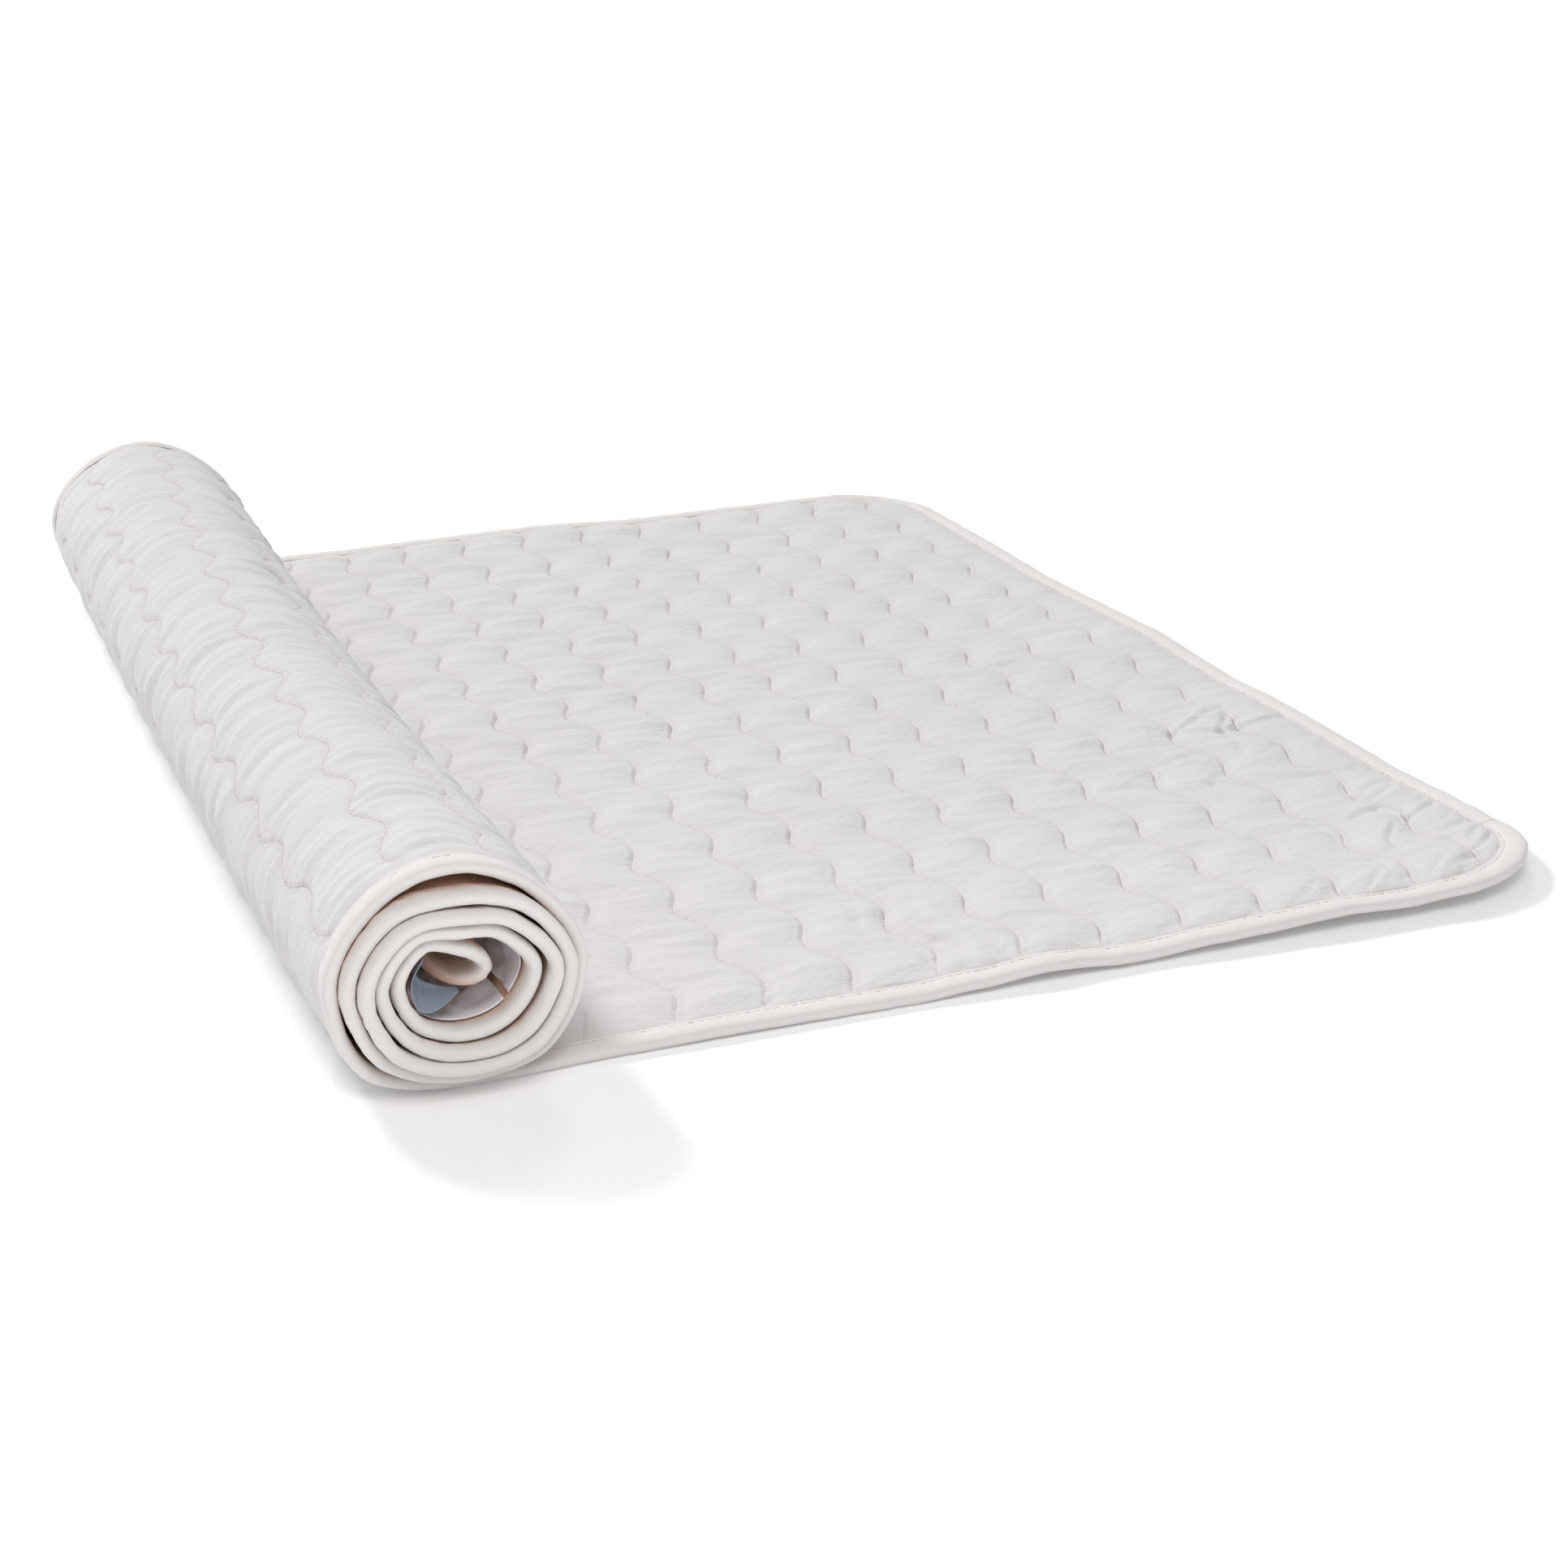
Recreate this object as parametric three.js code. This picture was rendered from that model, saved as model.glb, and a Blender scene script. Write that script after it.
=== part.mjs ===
// A quilted cotton mattress protector for a cot, half rolled up: one end lies flat,
// the rest is wound into a roll of five turns whose last stretch curls back on itself.
//
// Millimetres, +Z up. X runs along the mat from the roll to the flat end, Y runs across it along
// the roll, away from the end that is looked at. The origin is under the middle, on the floor.
//
// Every piece is laid out on the flat mat and carried onto the rolled one by place():
//   along  distance from the flat end, down the mat's length
//   across distance from the near edge, over the mat's width
//   rise   height above the middle of the cloth, on the side that faces up where the mat lies flat

import * as THREE from "three";

// Driving dimensions
const MAT_LENGTH = 1382;
const MAT_WIDTH = 700;
const CORNER_RADIUS = 45;
const LIFTED_CORNER_RADIUS = 62; // the near corner of the flat end, which curls up
const BINDING_WIDTH = 11;
const BINDING_THICKNESS = 4.4;
const FLOOR_LAYER_MIDDLE = 2.6; // height of the cloth's middle where it lies flat
const PIECE_GAP = 0.3;

// Quilting: wavy seams across the mat, in step with each other
const SEAM_PITCH = 34;
const FIRST_SEAM = 35.2; // from the flat end
const SEAM_FAN = 0.04; // share by which the seams lie wider apart at the far edge
const FAN_END = 700; // past this, inside the roll, they draw together again
const WAVE_LENGTH = 49.6;
const WAVE_DEPTH = 3.6;
const WAVE_START = 10; // the first trough, from the near edge
const SHOULDER = 8.5; // where the filling reaches its full height, from its seam

// Half thicknesses of the quilted cloth
const AT_SEAM = 1.1;
const AT_EDGE = 1.9;
const PUFF_UP = 3.4;
const PUFF_DOWN = 2.6; // pressed flat by the floor
const IN_ROLL = 2.1; // pressed between two turns
const PUFF_OUTSIDE = 3.3; // on the roll's outer skin

// The roll, seen from its near end. Angles go round from the bottom by the left and the top.
const ROLL_AXIS_X = 229;
const ROLL_AXIS_Z = 45;
const EIGHTH_TURN = Math.PI / 4;
const LEAD_IN = 33; // spacing of the two guide points before the roll begins

// Distance of each turn's middle from the roll's axis, and how far its near edge has
// slipped out past the flat part's near edge by the time it passes the bottom
const TURNS = [
  {
    bottom: 42.4, lowLeft: 46.7, left: 43.5, highLeft: 38.4,
    top: 37.4, highRight: 37.4, right: 42.7, lowRight: 42.1, slip: 3,
  },
  {
    bottom: 37.4, lowLeft: 39.4, left: 38.4, highLeft: 33.3,
    top: 28.2, highRight: 32.0, right: 37.4, lowRight: 36.5, slip: 9.5,
  },
  {
    bottom: 32.4, lowLeft: 33.9, left: 33.2, highLeft: 28.1,
    top: 22.2, highRight: 25.6, right: 32.2, lowRight: 30.2, slip: 16,
  },
  {
    bottom: 27.4, lowLeft: 27.9, left: 28.0, highLeft: 22.9,
    top: 16.6, highRight: 19.4, right: 25.2, lowRight: 23.6, slip: 15,
  },
  {
    bottom: 21.8, lowLeft: 22.4, left: 21.6, highLeft: 17.2,
    top: 9.4, slip: 11,
  },
];
const EIGHTHS = ["bottom", "lowLeft", "left", "highLeft", "top", "highRight", "right", "lowRight"];
const CURL_SLIP = 10;

// The mat's last stretch, which curls back inside the fifth turn
const CURL = [
  { x: 234.4, z: 51.4 },
  { x: 238.4, z: 46.2 },
  { x: 236.2, z: 41.2 },
  { x: 229.4, z: 39.2 },
  { x: 223.8, z: 41.5 },
  { x: 220.2, z: 45.3 },
  { x: 218.6, z: 49.4 },
];

// How the roll's section changes along it, from the near end to the far end
const STATIONS = [
  { across: 0, shift: 0, width: 1, height: 1 },
  { across: 350, shift: -3, width: 1, height: 0.985 },
  { across: 700, shift: 4.7, width: 1.1, height: 0.965 },
];

// How far the flat part's edges stand off the floor: the near and far ones down the mat's
// length, and the flat end's across it
const NEAR_EDGE = [
  { at: 0, lift: 8 },
  { at: 60, lift: 5.6 },
  { at: 80, lift: 4.4 },
  { at: 112, lift: 5.3 },
  { at: 144, lift: 3.8 },
  { at: 165, lift: 3 },
  { at: 196, lift: 1.2 },
  { at: 206, lift: 1.3 },
  { at: 236, lift: 3.4 },
  { at: 266, lift: 1.4 },
  { at: 290, lift: 0 },
  { at: 361, lift: 0.5 },
  { at: 400, lift: 0 },
];
const FAR_EDGE = [
  { at: 0, lift: 0.4 },
  { at: 47, lift: 2.8 },
  { at: 122, lift: 2.4 },
  { at: 171, lift: 1.8 },
  { at: 231, lift: 4 },
  { at: 301, lift: 3.2 },
  { at: 347, lift: 2.2 },
  { at: 400, lift: 2.4 },
  { at: 450, lift: 0 },
];
const FLAT_END = [
  { at: 45, lift: 0 },
  { at: 62, lift: 0.2 },
  { at: 82, lift: 2.2 },
  { at: 99, lift: 2.8 },
  { at: 138, lift: 1.6 },
  { at: 208, lift: 2.6 },
  { at: 248, lift: 2.6 },
  { at: 281, lift: 1.2 },
  { at: 362, lift: 3.7 },
  { at: 416, lift: 2.2 },
  { at: 494, lift: 0.1 },
  { at: 585, lift: 1.3 },
  { at: 676, lift: 0.1 },
];
const LIFT_REACH = 110; // how far in a lifted edge is felt

// The middle of the finished shape's box, in the roll drawing's own X and Y
const ORIGIN_X = 436;
const ORIGIN_Y = 342.5;

const lerp = THREE.MathUtils.lerp;
const clamp = THREE.MathUtils.clamp;
const smooth = (value, from, to) => THREE.MathUtils.smoothstep(value, from, to);

// The lift at a place along an edge, eased from row to row of its table.
function liftOf(rows, place) {
  const last = rows.length - 1;
  if (place <= rows[0].at) return rows[0].lift;
  if (place >= rows[last].at) return rows[last].lift;
  const i = rows.findIndex((row) => row.at > place) - 1;
  return lerp(rows[i].lift, rows[i + 1].lift, smooth(place, rows[i].at, rows[i + 1].at));
}

// The value of one column of STATIONS, on the parabola through its three rows.
function stationAt(across, column) {
  const t = across / MAT_WIDTH;
  const [near, middle, far] = STATIONS.map((row) => row[column]);
  return near * (1 - t) * (1 - 2 * t) + middle * 4 * t * (1 - t) + far * t * (2 * t - 1);
}

// The curve that the middle of the cloth follows from just before the roll to the mat's inner end.
function rollCurve() {
  const floor = ROLL_AXIS_Z - TURNS[0].bottom;
  const points = [
    new THREE.Vector3(ROLL_AXIS_X + 2 * LEAD_IN, 0, floor),
    new THREE.Vector3(ROLL_AXIS_X + LEAD_IN, 0, floor),
  ];
  for (const turn of TURNS) {
    EIGHTHS.forEach((name, i) => {
      if (turn[name] === undefined) return;
      const angle = i * EIGHTH_TURN;
      const x = ROLL_AXIS_X - turn[name] * Math.sin(angle);
      const z = ROLL_AXIS_Z - turn[name] * Math.cos(angle);
      points.push(new THREE.Vector3(x, 0, z));
    });
  }
  for (const { x, z } of CURL) points.push(new THREE.Vector3(x, 0, z));
  const curve = new THREE.CatmullRomCurve3(points, false, "catmullrom", 0.5);
  curve.arcLengthDivisions = 4000;
  return curve;
}

const ROLL = rollCurve();
const ROLL_LENGTH = ROLL.getLength();
const FLAT_LENGTH = MAT_LENGTH - ROLL_LENGTH;
const FLAT_END_X = ROLL_AXIS_X + 2 * LEAD_IN + FLAT_LENGTH;
const ROLL_SPANS = ROLL.points.length - 1;
const SPANS_BEFORE_ROLL = 2;

// The distance along the mat at an eighth of a turn, counted from where the roll begins.
function alongAtEighth(eighth) {
  const share = (eighth + SPANS_BEFORE_ROLL) / ROLL_SPANS;
  const lengths = ROLL.getLengths();
  return FLAT_LENGTH + lengths[Math.round(share * (lengths.length - 1))];
}

// How far the near edge has slipped out towards the looker, at a place along the mat.
function slipAt(along) {
  if (along <= FLAT_LENGTH) return 0;
  const share = ROLL.getUtoTmapping((along - FLAT_LENGTH) / ROLL_LENGTH);
  const turn = (share * ROLL_SPANS - SPANS_BEFORE_ROLL) / EIGHTHS.length;
  if (turn <= 0) {
    return TURNS[0].slip * smooth(turn, -SPANS_BEFORE_ROLL / EIGHTHS.length, 0);
  }
  const i = Math.min(Math.floor(turn), TURNS.length - 1);
  const next = i + 1 < TURNS.length ? TURNS[i + 1].slip : CURL_SLIP;
  return lerp(TURNS[i].slip, next, Math.min(turn - i, 1));
}

// How far the cloth is off the floor where it lies flat.
function liftAt(along, across) {
  const felt = (inward) => 0.5 + 0.5 * Math.cos(Math.PI * clamp(inward / LIFT_REACH, 0, 1));
  return (
    liftOf(NEAR_EDGE, along) * felt(across) +
    liftOf(FAR_EDGE, along) * felt(MAT_WIDTH - across) +
    liftOf(FLAT_END, across) * felt(along)
  );
}

// Where a point of the flat mat lies in the finished shape.
function place(along, across, rise) {
  const onRoll = along > FLAT_LENGTH;
  const share = clamp((along - FLAT_LENGTH) / ROLL_LENGTH, 0, 1);
  const middle = onRoll
    ? ROLL.getPointAt(share)
    : new THREE.Vector3(FLAT_END_X - along, 0, FLOOR_LAYER_MIDDLE);
  middle.z = Math.max(middle.z, FLOOR_LAYER_MIDDLE);
  const tangent = onRoll ? ROLL.getTangentAt(share) : new THREE.Vector3(-1, 0, 0);
  const x = middle.x + rise * tangent.z;
  const z = middle.z - rise * tangent.x;
  // The roll's changing section fades out in the flat part
  const hold = smooth(along, FLAT_LENGTH - 100, FLAT_LENGTH + 2 * LEAD_IN);
  const spread = (stationAt(across, "width") - 1) * (x - ROLL_AXIS_X);
  const squash = (stationAt(across, "height") - 1) * Math.max(z - 2 * FLOOR_LAYER_MIDDLE, 0);
  return new THREE.Vector3(
    x + hold * (stationAt(across, "shift") + spread) - ORIGIN_X,
    across - slipAt(along) - ORIGIN_Y,
    z + hold * squash + liftAt(along, across),
  );
}

// A closed sheet from rows of points. Each row has an upper and an under line of points, each
// point an { across, at }, and the two lines of one row start and end above each other.
function sheetGeometry(rows) {
  const positions = [];
  const triangles = [];
  const indexed = (line) =>
    line.map(({ across, at }) => {
      positions.push(at.x, at.y, at.z);
      return { across, id: positions.length / 3 - 1 };
    });
  const lines = rows.map(({ upper, under }) => ({ upper: indexed(upper), under: indexed(under) }));

  // Joins two lines whose points needn't match, stepping along whichever lags behind
  const zip = (a, b, flip) => {
    let i = 0;
    let j = 0;
    while (i < a.length - 1 || j < b.length - 1) {
      const stepA = j === b.length - 1 || (i < a.length - 1 && a[i + 1].across <= b[j + 1].across);
      const third = stepA ? a[i + 1] : b[j + 1];
      const corners = [a[i].id, b[j].id, third.id];
      if (flip) corners.reverse();
      triangles.push(...corners);
      if (stepA) i += 1;
      else j += 1;
    }
  };
  const quad = (a, b, c, d) => triangles.push(a.id, b.id, c.id, a.id, c.id, d.id);

  for (let r = 0; r + 1 < lines.length; r += 1) {
    const [here, next] = [lines[r], lines[r + 1]];
    zip(here.upper, next.upper, true);
    zip(here.under, next.under, false);
    quad(here.upper[0], next.upper[0], next.under[0], here.under[0]);
    quad(here.under.at(-1), next.under.at(-1), next.upper.at(-1), here.upper.at(-1));
  }
  zip(lines[0].upper, lines[0].under, false);
  zip(lines.at(-1).upper, lines.at(-1).under, true);

  const geometry = new THREE.BufferGeometry();
  geometry.setAttribute("position", new THREE.Float32BufferAttribute(positions, 3));
  geometry.setIndex(triangles);
  geometry.computeVertexNormals();
  return geometry;
}

// How far a seam strays towards the roll: in waves, and more and more towards the far edge.
const wave = (across) => WAVE_DEPTH * Math.cos((2 * Math.PI * (across - WAVE_START)) / WAVE_LENGTH);
function fan(along, across) {
  const begins = smooth(along, 2 * FIRST_SEAM, 5 * SEAM_PITCH);
  const ends = smooth(along, FAN_END, MAT_LENGTH - 150);
  return SEAM_FAN * along * begins * (1 - ends) * (across / MAT_WIDTH) ** 1.5;
}

// Places across the panel: a fine set that catches each wave, and a coarse one for hidden faces.
const PANEL_INSET = BINDING_WIDTH + PIECE_GAP;
const POINTS_PER_WAVE = 4;
const COARSE_STEPS = 4;

function finePlaces() {
  const step = WAVE_LENGTH / POINTS_PER_WAVE;
  const places = [PANEL_INSET];
  for (let at = WAVE_START + step; at < MAT_WIDTH - PANEL_INSET - step / 2; at += step) places.push(at);
  places.push(MAT_WIDTH - PANEL_INSET);
  return places;
}

const FINE = finePlaces();
const COARSE = Array.from({ length: COARSE_STEPS + 1 }, (_, i) =>
  lerp(PANEL_INSET, MAT_WIDTH - PANEL_INSET, i / COARSE_STEPS),
);
// Under the flat part: closer together near the edges, where the mat lifts
const UNDERSIDE = [0, 24, 55, 100, 340, 577, 622, 653, 677.4].map((from) => PANEL_INSET + from);

// How much a row is drawn in at the mat's rounded corners.
function cornerInset(along, corner) {
  const radius = corner - BINDING_WIDTH - 2 * PIECE_GAP;
  const short = corner - Math.min(along, MAT_LENGTH - along);
  if (short <= 0) return 0;
  const half = Math.sqrt(Math.max(radius ** 2 - short ** 2, 0));
  return Math.max(corner - half - PANEL_INSET, 0);
}

// One line of points across the panel, which follows the seams' waves by waveShare.
function panelLine(along, places, waveShare, rise, edgeRise) {
  const half = MAT_WIDTH / 2;
  const room = half - PANEL_INSET;
  return places.map((spot, i) => {
    const strayed = along + waveShare * wave(spot) + fan(along, spot);
    const lifted = spot < half && along < MAT_LENGTH / 2;
    const inset = cornerInset(strayed, lifted ? LIFTED_CORNER_RADIUS : CORNER_RADIUS);
    const across = half + ((spot - half) * (room - inset)) / room;
    const atEdge = i === 0 || i === places.length - 1;
    return { across, at: place(strayed, across, atEdge ? edgeRise : rise) };
  });
}

// The quilted panel: puffed between its seams, fine where it shows, plain inside the roll.
function quiltedPanel() {
  const panelEnd = MAT_LENGTH - PANEL_INSET;
  const rollStart = alongAtEighth(0);
  const firstTurnEnd = alongAtEighth(EIGHTHS.length);
  const rows = [];

  const addRow = (along, isSeam, upperFine, underFine) => {
    const onSkin = along > rollStart;
    const underRoll = smooth(along, rollStart - 70, rollStart - 20);
    const offFloor = smooth(along, rollStart + 10, rollStart + 50);
    const tucked = smooth(along, firstTurnEnd - 75, firstTurnEnd - 40);
    const puffUp = lerp(PUFF_UP, IN_ROLL, underRoll);
    const puffDown = lerp(lerp(PUFF_DOWN, PUFF_OUTSIDE, offFloor), IN_ROLL, tucked);
    const upRise = isSeam && !onSkin ? AT_SEAM : puffUp;
    const downRise = isSeam ? AT_SEAM : puffDown;
    const edge = isSeam ? AT_SEAM : AT_EDGE;
    const upperPlaces = upperFine ? FINE : COARSE;
    const underPlaces = underFine ? FINE : onSkin ? COARSE : UNDERSIDE;
    const waveShare = smooth(along, PANEL_INSET + 10, FIRST_SEAM);
    rows.push({
      upper: panelLine(along, upperPlaces, upperFine ? waveShare : 0, upRise, edge),
      under: panelLine(along, underPlaces, underFine ? waveShare : 0, -downRise, -edge),
    });
  };

  // The flat end's rounded corners, up to the first seam
  addRow(PANEL_INSET, false, true, false);
  addRow(PANEL_INSET + 3.5, false, true, false);
  addRow(PANEL_INSET + 10, false, true, false);
  // The flat part, then the roll's outer turn with an extra row to keep it round
  for (let seam = FIRST_SEAM; seam < firstTurnEnd; seam += SEAM_PITCH) {
    const onFlat = seam + SHOULDER < rollStart;
    const offsets = onFlat
      ? [0, SHOULDER, SEAM_PITCH - SHOULDER]
      : [0, SHOULDER, SEAM_PITCH / 2, SEAM_PITCH - SHOULDER];
    for (const offset of offsets) {
      const along = seam + offset;
      if (along < firstTurnEnd) addRow(along, offset === 0, along < rollStart, along >= rollStart);
    }
  }
  // The inner turns and the curl, a few rows to each eighth of a turn
  const lastEighth = ROLL_SPANS - SPANS_BEFORE_ROLL;
  for (let eighth = EIGHTHS.length + 1 / 3; eighth < lastEighth; eighth += 1 / 3) {
    const along = alongAtEighth(eighth);
    if (along < panelEnd - 4) addRow(along, false, false, false);
  }
  addRow(panelEnd - 3.5, false, false, false);
  addRow(panelEnd, false, false, false);
  return sheetGeometry(rows);
}

// The binding's outline on the flat mat: its inner line, and the way out from it to the edge.
function bindingPath() {
  const path = [];
  const corner = (along, across, from, steps, radius = CORNER_RADIUS) => {
    const inner = radius - BINDING_WIDTH;
    for (let i = 0; i <= steps; i += 1) {
      const angle = from + (i / steps) * (Math.PI / 2);
      const out = { along: Math.cos(angle), across: Math.sin(angle) };
      path.push({ along: along + inner * out.along, across: across + inner * out.across, out });
    }
  };
  // Down the mat's length: wide steps where it is flat, three to each eighth of a turn in the roll
  const stops = [];
  for (let at = LIFTED_CORNER_RADIUS + 12; at < FLAT_LENGTH - 8; at += 17) stops.push(at);
  for (let eighth = -SPANS_BEFORE_ROLL; eighth <= ROLL_SPANS - SPANS_BEFORE_ROLL; eighth += 1 / 3) {
    const at = alongAtEighth(eighth);
    if (at < MAT_LENGTH - CORNER_RADIUS - 2) stops.push(at);
  }
  const near = { along: 0, across: -1 };
  const far = { along: 0, across: 1 };
  const flatEnd = { along: -1, across: 0 };
  const innerEnd = { along: 1, across: 0 };
  const flatEndStops = [75, 95, 120, 150, 260, 350, 440, 550, 580, 605, 630];
  const innerEndStops = [0.25, 0.5, 0.75].map((share) => {
    return lerp(CORNER_RADIUS, MAT_WIDTH - CORNER_RADIUS, share);
  });

  corner(LIFTED_CORNER_RADIUS, LIFTED_CORNER_RADIUS, Math.PI, 10, LIFTED_CORNER_RADIUS);
  for (const along of stops) path.push({ along, across: BINDING_WIDTH, out: near });
  corner(MAT_LENGTH - CORNER_RADIUS, CORNER_RADIUS, -Math.PI / 2, 14);
  for (const across of innerEndStops) {
    path.push({ along: MAT_LENGTH - BINDING_WIDTH, across, out: innerEnd });
  }
  corner(MAT_LENGTH - CORNER_RADIUS, MAT_WIDTH - CORNER_RADIUS, 0, 14);
  for (const along of [...stops].reverse()) {
    path.push({ along, across: MAT_WIDTH - BINDING_WIDTH, out: far });
  }
  corner(CORNER_RADIUS, MAT_WIDTH - CORNER_RADIUS, Math.PI / 2, 8);
  for (const across of [...flatEndStops].reverse()) {
    path.push({ along: BINDING_WIDTH, across, out: flatEnd });
  }
  return path;
}

// The binding: one tape folded over the edge all the way round, as a closed ring.
function binding() {
  const half = BINDING_THICKNESS / 2;
  const section = [
    { out: 0, rise: -half + 0.2 },
    { out: BINDING_WIDTH - 2.4, rise: -half },
    { out: BINDING_WIDTH, rise: -half * 0.4 },
    { out: BINDING_WIDTH, rise: half * 0.4 },
    { out: BINDING_WIDTH - 2.4, rise: half },
    { out: 0, rise: half - 0.2 },
  ];
  const path = bindingPath();
  const positions = [];
  const triangles = [];
  for (const { along, across, out } of path) {
    for (const { out: reach, rise } of section) {
      const at = place(along + reach * out.along, across + reach * out.across, rise);
      positions.push(at.x, at.y, at.z);
    }
  }
  const sides = section.length;
  path.forEach((_, ring) => {
    const next = (ring + 1) % path.length;
    for (let side = 0; side < sides; side += 1) {
      const turned = (side + 1) % sides;
      const a = ring * sides + side;
      const b = next * sides + side;
      const c = next * sides + turned;
      const d = ring * sides + turned;
      triangles.push(a, c, b, a, d, c);
    }
  });
  const geometry = new THREE.BufferGeometry();
  geometry.setAttribute("position", new THREE.Float32BufferAttribute(positions, 3));
  geometry.setIndex(triangles);
  geometry.computeVertexNormals();
  return geometry;
}

// The labels, sewn in under the near edge's binding and showing in the roll's core
const LABEL_THICKNESS = 1;
const LABEL_SEAT = IN_ROLL + PIECE_GAP;
const LABELS = [
  {
    name: "label_blue", fromEighth: 33, toEighth: 34.3,
    depth: 34, flareStart: 9, flareEnd: 4, color: 0x8a9bb0,
  },
  {
    name: "label_white_lower", fromEighth: 30.9, toEighth: 32.7,
    depth: 44, flareStart: 1, flareEnd: 1, color: 0xe6e4ea,
  },
  {
    name: "label_white_upper", fromEighth: 28.9, toEighth: 30.7,
    depth: 44, flareStart: 1, flareEnd: 1, color: 0xe0dde2,
  },
];

// A label: it lies on the cloth at the edge and stands off it a little further in.
function label({ fromEighth, toEighth, depth, flareStart, flareEnd }) {
  const rowCount = 8;
  const steps = [0, 0.3, 0.65, 1];
  const rows = Array.from({ length: rowCount }, (_, r) => {
    const share = r / (rowCount - 1);
    const along = alongAtEighth(lerp(fromEighth, toEighth, share));
    const flare = lerp(flareStart, flareEnd, share);
    const line = (lift) =>
      steps.map((step) => {
        const across = PANEL_INSET + depth * step;
        return { across, at: place(along, across, LABEL_SEAT + lift + flare * step ** 2) };
      });
    return { upper: line(LABEL_THICKNESS), under: line(0) };
  });
  return sheetGeometry(rows);
}

const COTTON = { color: 0xe9e5e0, roughness: 0.92, metalness: 0 };
const TAPE = { color: 0xeeebe7, roughness: 0.88, metalness: 0 };
const SATIN = { roughness: 0.35, metalness: 0 };

function piece(name, geometry, finish) {
  const mesh = new THREE.Mesh(geometry, new THREE.MeshStandardMaterial(finish));
  mesh.name = name;
  return mesh;
}

const protector = new THREE.Group();
protector.add(piece("quilted_panel", quiltedPanel(), COTTON));
protector.add(piece("binding", binding(), TAPE));
for (const row of LABELS) {
  protector.add(piece(row.name, label(row), { ...SATIN, color: row.color }));
}

export default protector;
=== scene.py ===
"""A quilted cotton mattress protector for a cot, half rolled up on a pale floor.

The mat lies flat on the right and is wound into a roll of five turns on the left. Everything is
laid out on the flat mat, in millimetres, and carried onto the rolled one by place():
  along   distance from the flat end, down the mat's length
  across  distance from the near edge, over the mat's width
  rise    height above the middle of the cloth, on the side that faces up where the mat lies flat
"""

import math

import bpy
import numpy as np
from mathutils import Matrix, Vector


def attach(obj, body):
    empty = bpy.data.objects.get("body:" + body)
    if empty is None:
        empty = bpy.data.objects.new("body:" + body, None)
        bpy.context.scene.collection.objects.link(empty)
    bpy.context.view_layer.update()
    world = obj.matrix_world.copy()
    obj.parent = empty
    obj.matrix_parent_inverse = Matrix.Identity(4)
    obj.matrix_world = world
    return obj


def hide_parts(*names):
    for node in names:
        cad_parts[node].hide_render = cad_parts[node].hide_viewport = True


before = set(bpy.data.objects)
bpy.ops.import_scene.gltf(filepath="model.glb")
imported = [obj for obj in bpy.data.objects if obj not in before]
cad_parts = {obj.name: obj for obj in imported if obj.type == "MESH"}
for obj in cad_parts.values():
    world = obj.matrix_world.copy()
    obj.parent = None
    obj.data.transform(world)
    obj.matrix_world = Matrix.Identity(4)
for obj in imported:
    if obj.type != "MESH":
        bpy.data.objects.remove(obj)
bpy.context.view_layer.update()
bpy.ops.object.select_all(action="DESELECT")

MM = 0.001

# Camera

CAMERA_AT = (-412.4, -1212.1, 425.7)
CAMERA_YAW = 0.3582  # from straight along the roll, towards the flat part
CAMERA_PITCH = 0.3439  # down
CAMERA_ROLL = -0.0180
LENS = 65.306  # on a sensor 36 mm wide


def add_camera():
    yaw, pitch, roll = CAMERA_YAW, CAMERA_PITCH, CAMERA_ROLL
    forward = Vector(
        (math.sin(yaw) * math.cos(pitch), math.cos(yaw) * math.cos(pitch), -math.sin(pitch))
    )
    level = Vector((math.cos(yaw), -math.sin(yaw), 0))
    over = level.cross(forward)
    right = math.cos(roll) * level + math.sin(roll) * over
    up = math.cos(roll) * over - math.sin(roll) * level
    data = bpy.data.cameras.new("photo_view")
    data.lens = LENS
    data.sensor_width = 36
    data.clip_end = 20
    camera = bpy.data.objects.new("photo_view", data)
    bpy.context.scene.collection.objects.link(camera)
    turn = Matrix((right, up, -forward)).transposed().to_4x4()
    camera.matrix_world = Matrix.Translation(Vector(CAMERA_AT) * MM) @ turn
    bpy.context.scene.camera = camera


add_camera()

# Sizes

MAT_LENGTH = 1382
MAT_WIDTH = 700
CORNER_RADIUS = 45
LIFTED_CORNER_RADIUS = 62  # the near corner of the flat end, which curls up
BINDING_WIDTH = 11
FLOOR_LAYER_MIDDLE = 2.6  # height of the middle of the cloth where it lies flat
ORIGIN = (436, 342.5)  # the part's origin, in the roll drawing's x and from the near edge

# Quilting: wavy seams across the mat
SEAM_PITCH = 34.02
SEAMS = 20  # those that show; more lie between the turns
TOP_SEAMS = 12  # on the flat part; the others show on the outside of the roll
FIRST_SEAM = 35.2
SEAM_FAN = 0.04  # how much the seams spread apart towards the far edge
FAN_END = 700
WAVE_LENGTH = 49.6
WAVE_DEPTH = 3.6
WAVE_START = 10
# Place across, how far the waves are out of step on the roll
WAVE_SHIFT = [
    (0, 6), (85, 10), (134, 15), (184, 19), (233, 21), (283, 21.5), (580, 21.5), (630, 18), (680, 15),
]

# Half thicknesses of the quilted cloth
AT_SEAM = 1.1
AT_EDGE = 1.4
TAPE_OVERLAP = 0.6  # how far the filling starts under the tape's inner edge
EDGE_REACH = 12  # from there to where it is free of the tape
PUFF = 3.0  # crown over its seams
UNDER_PUFF = 1.5
IN_ROLL = 2.1
INNER_PUFF = 1.2

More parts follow.
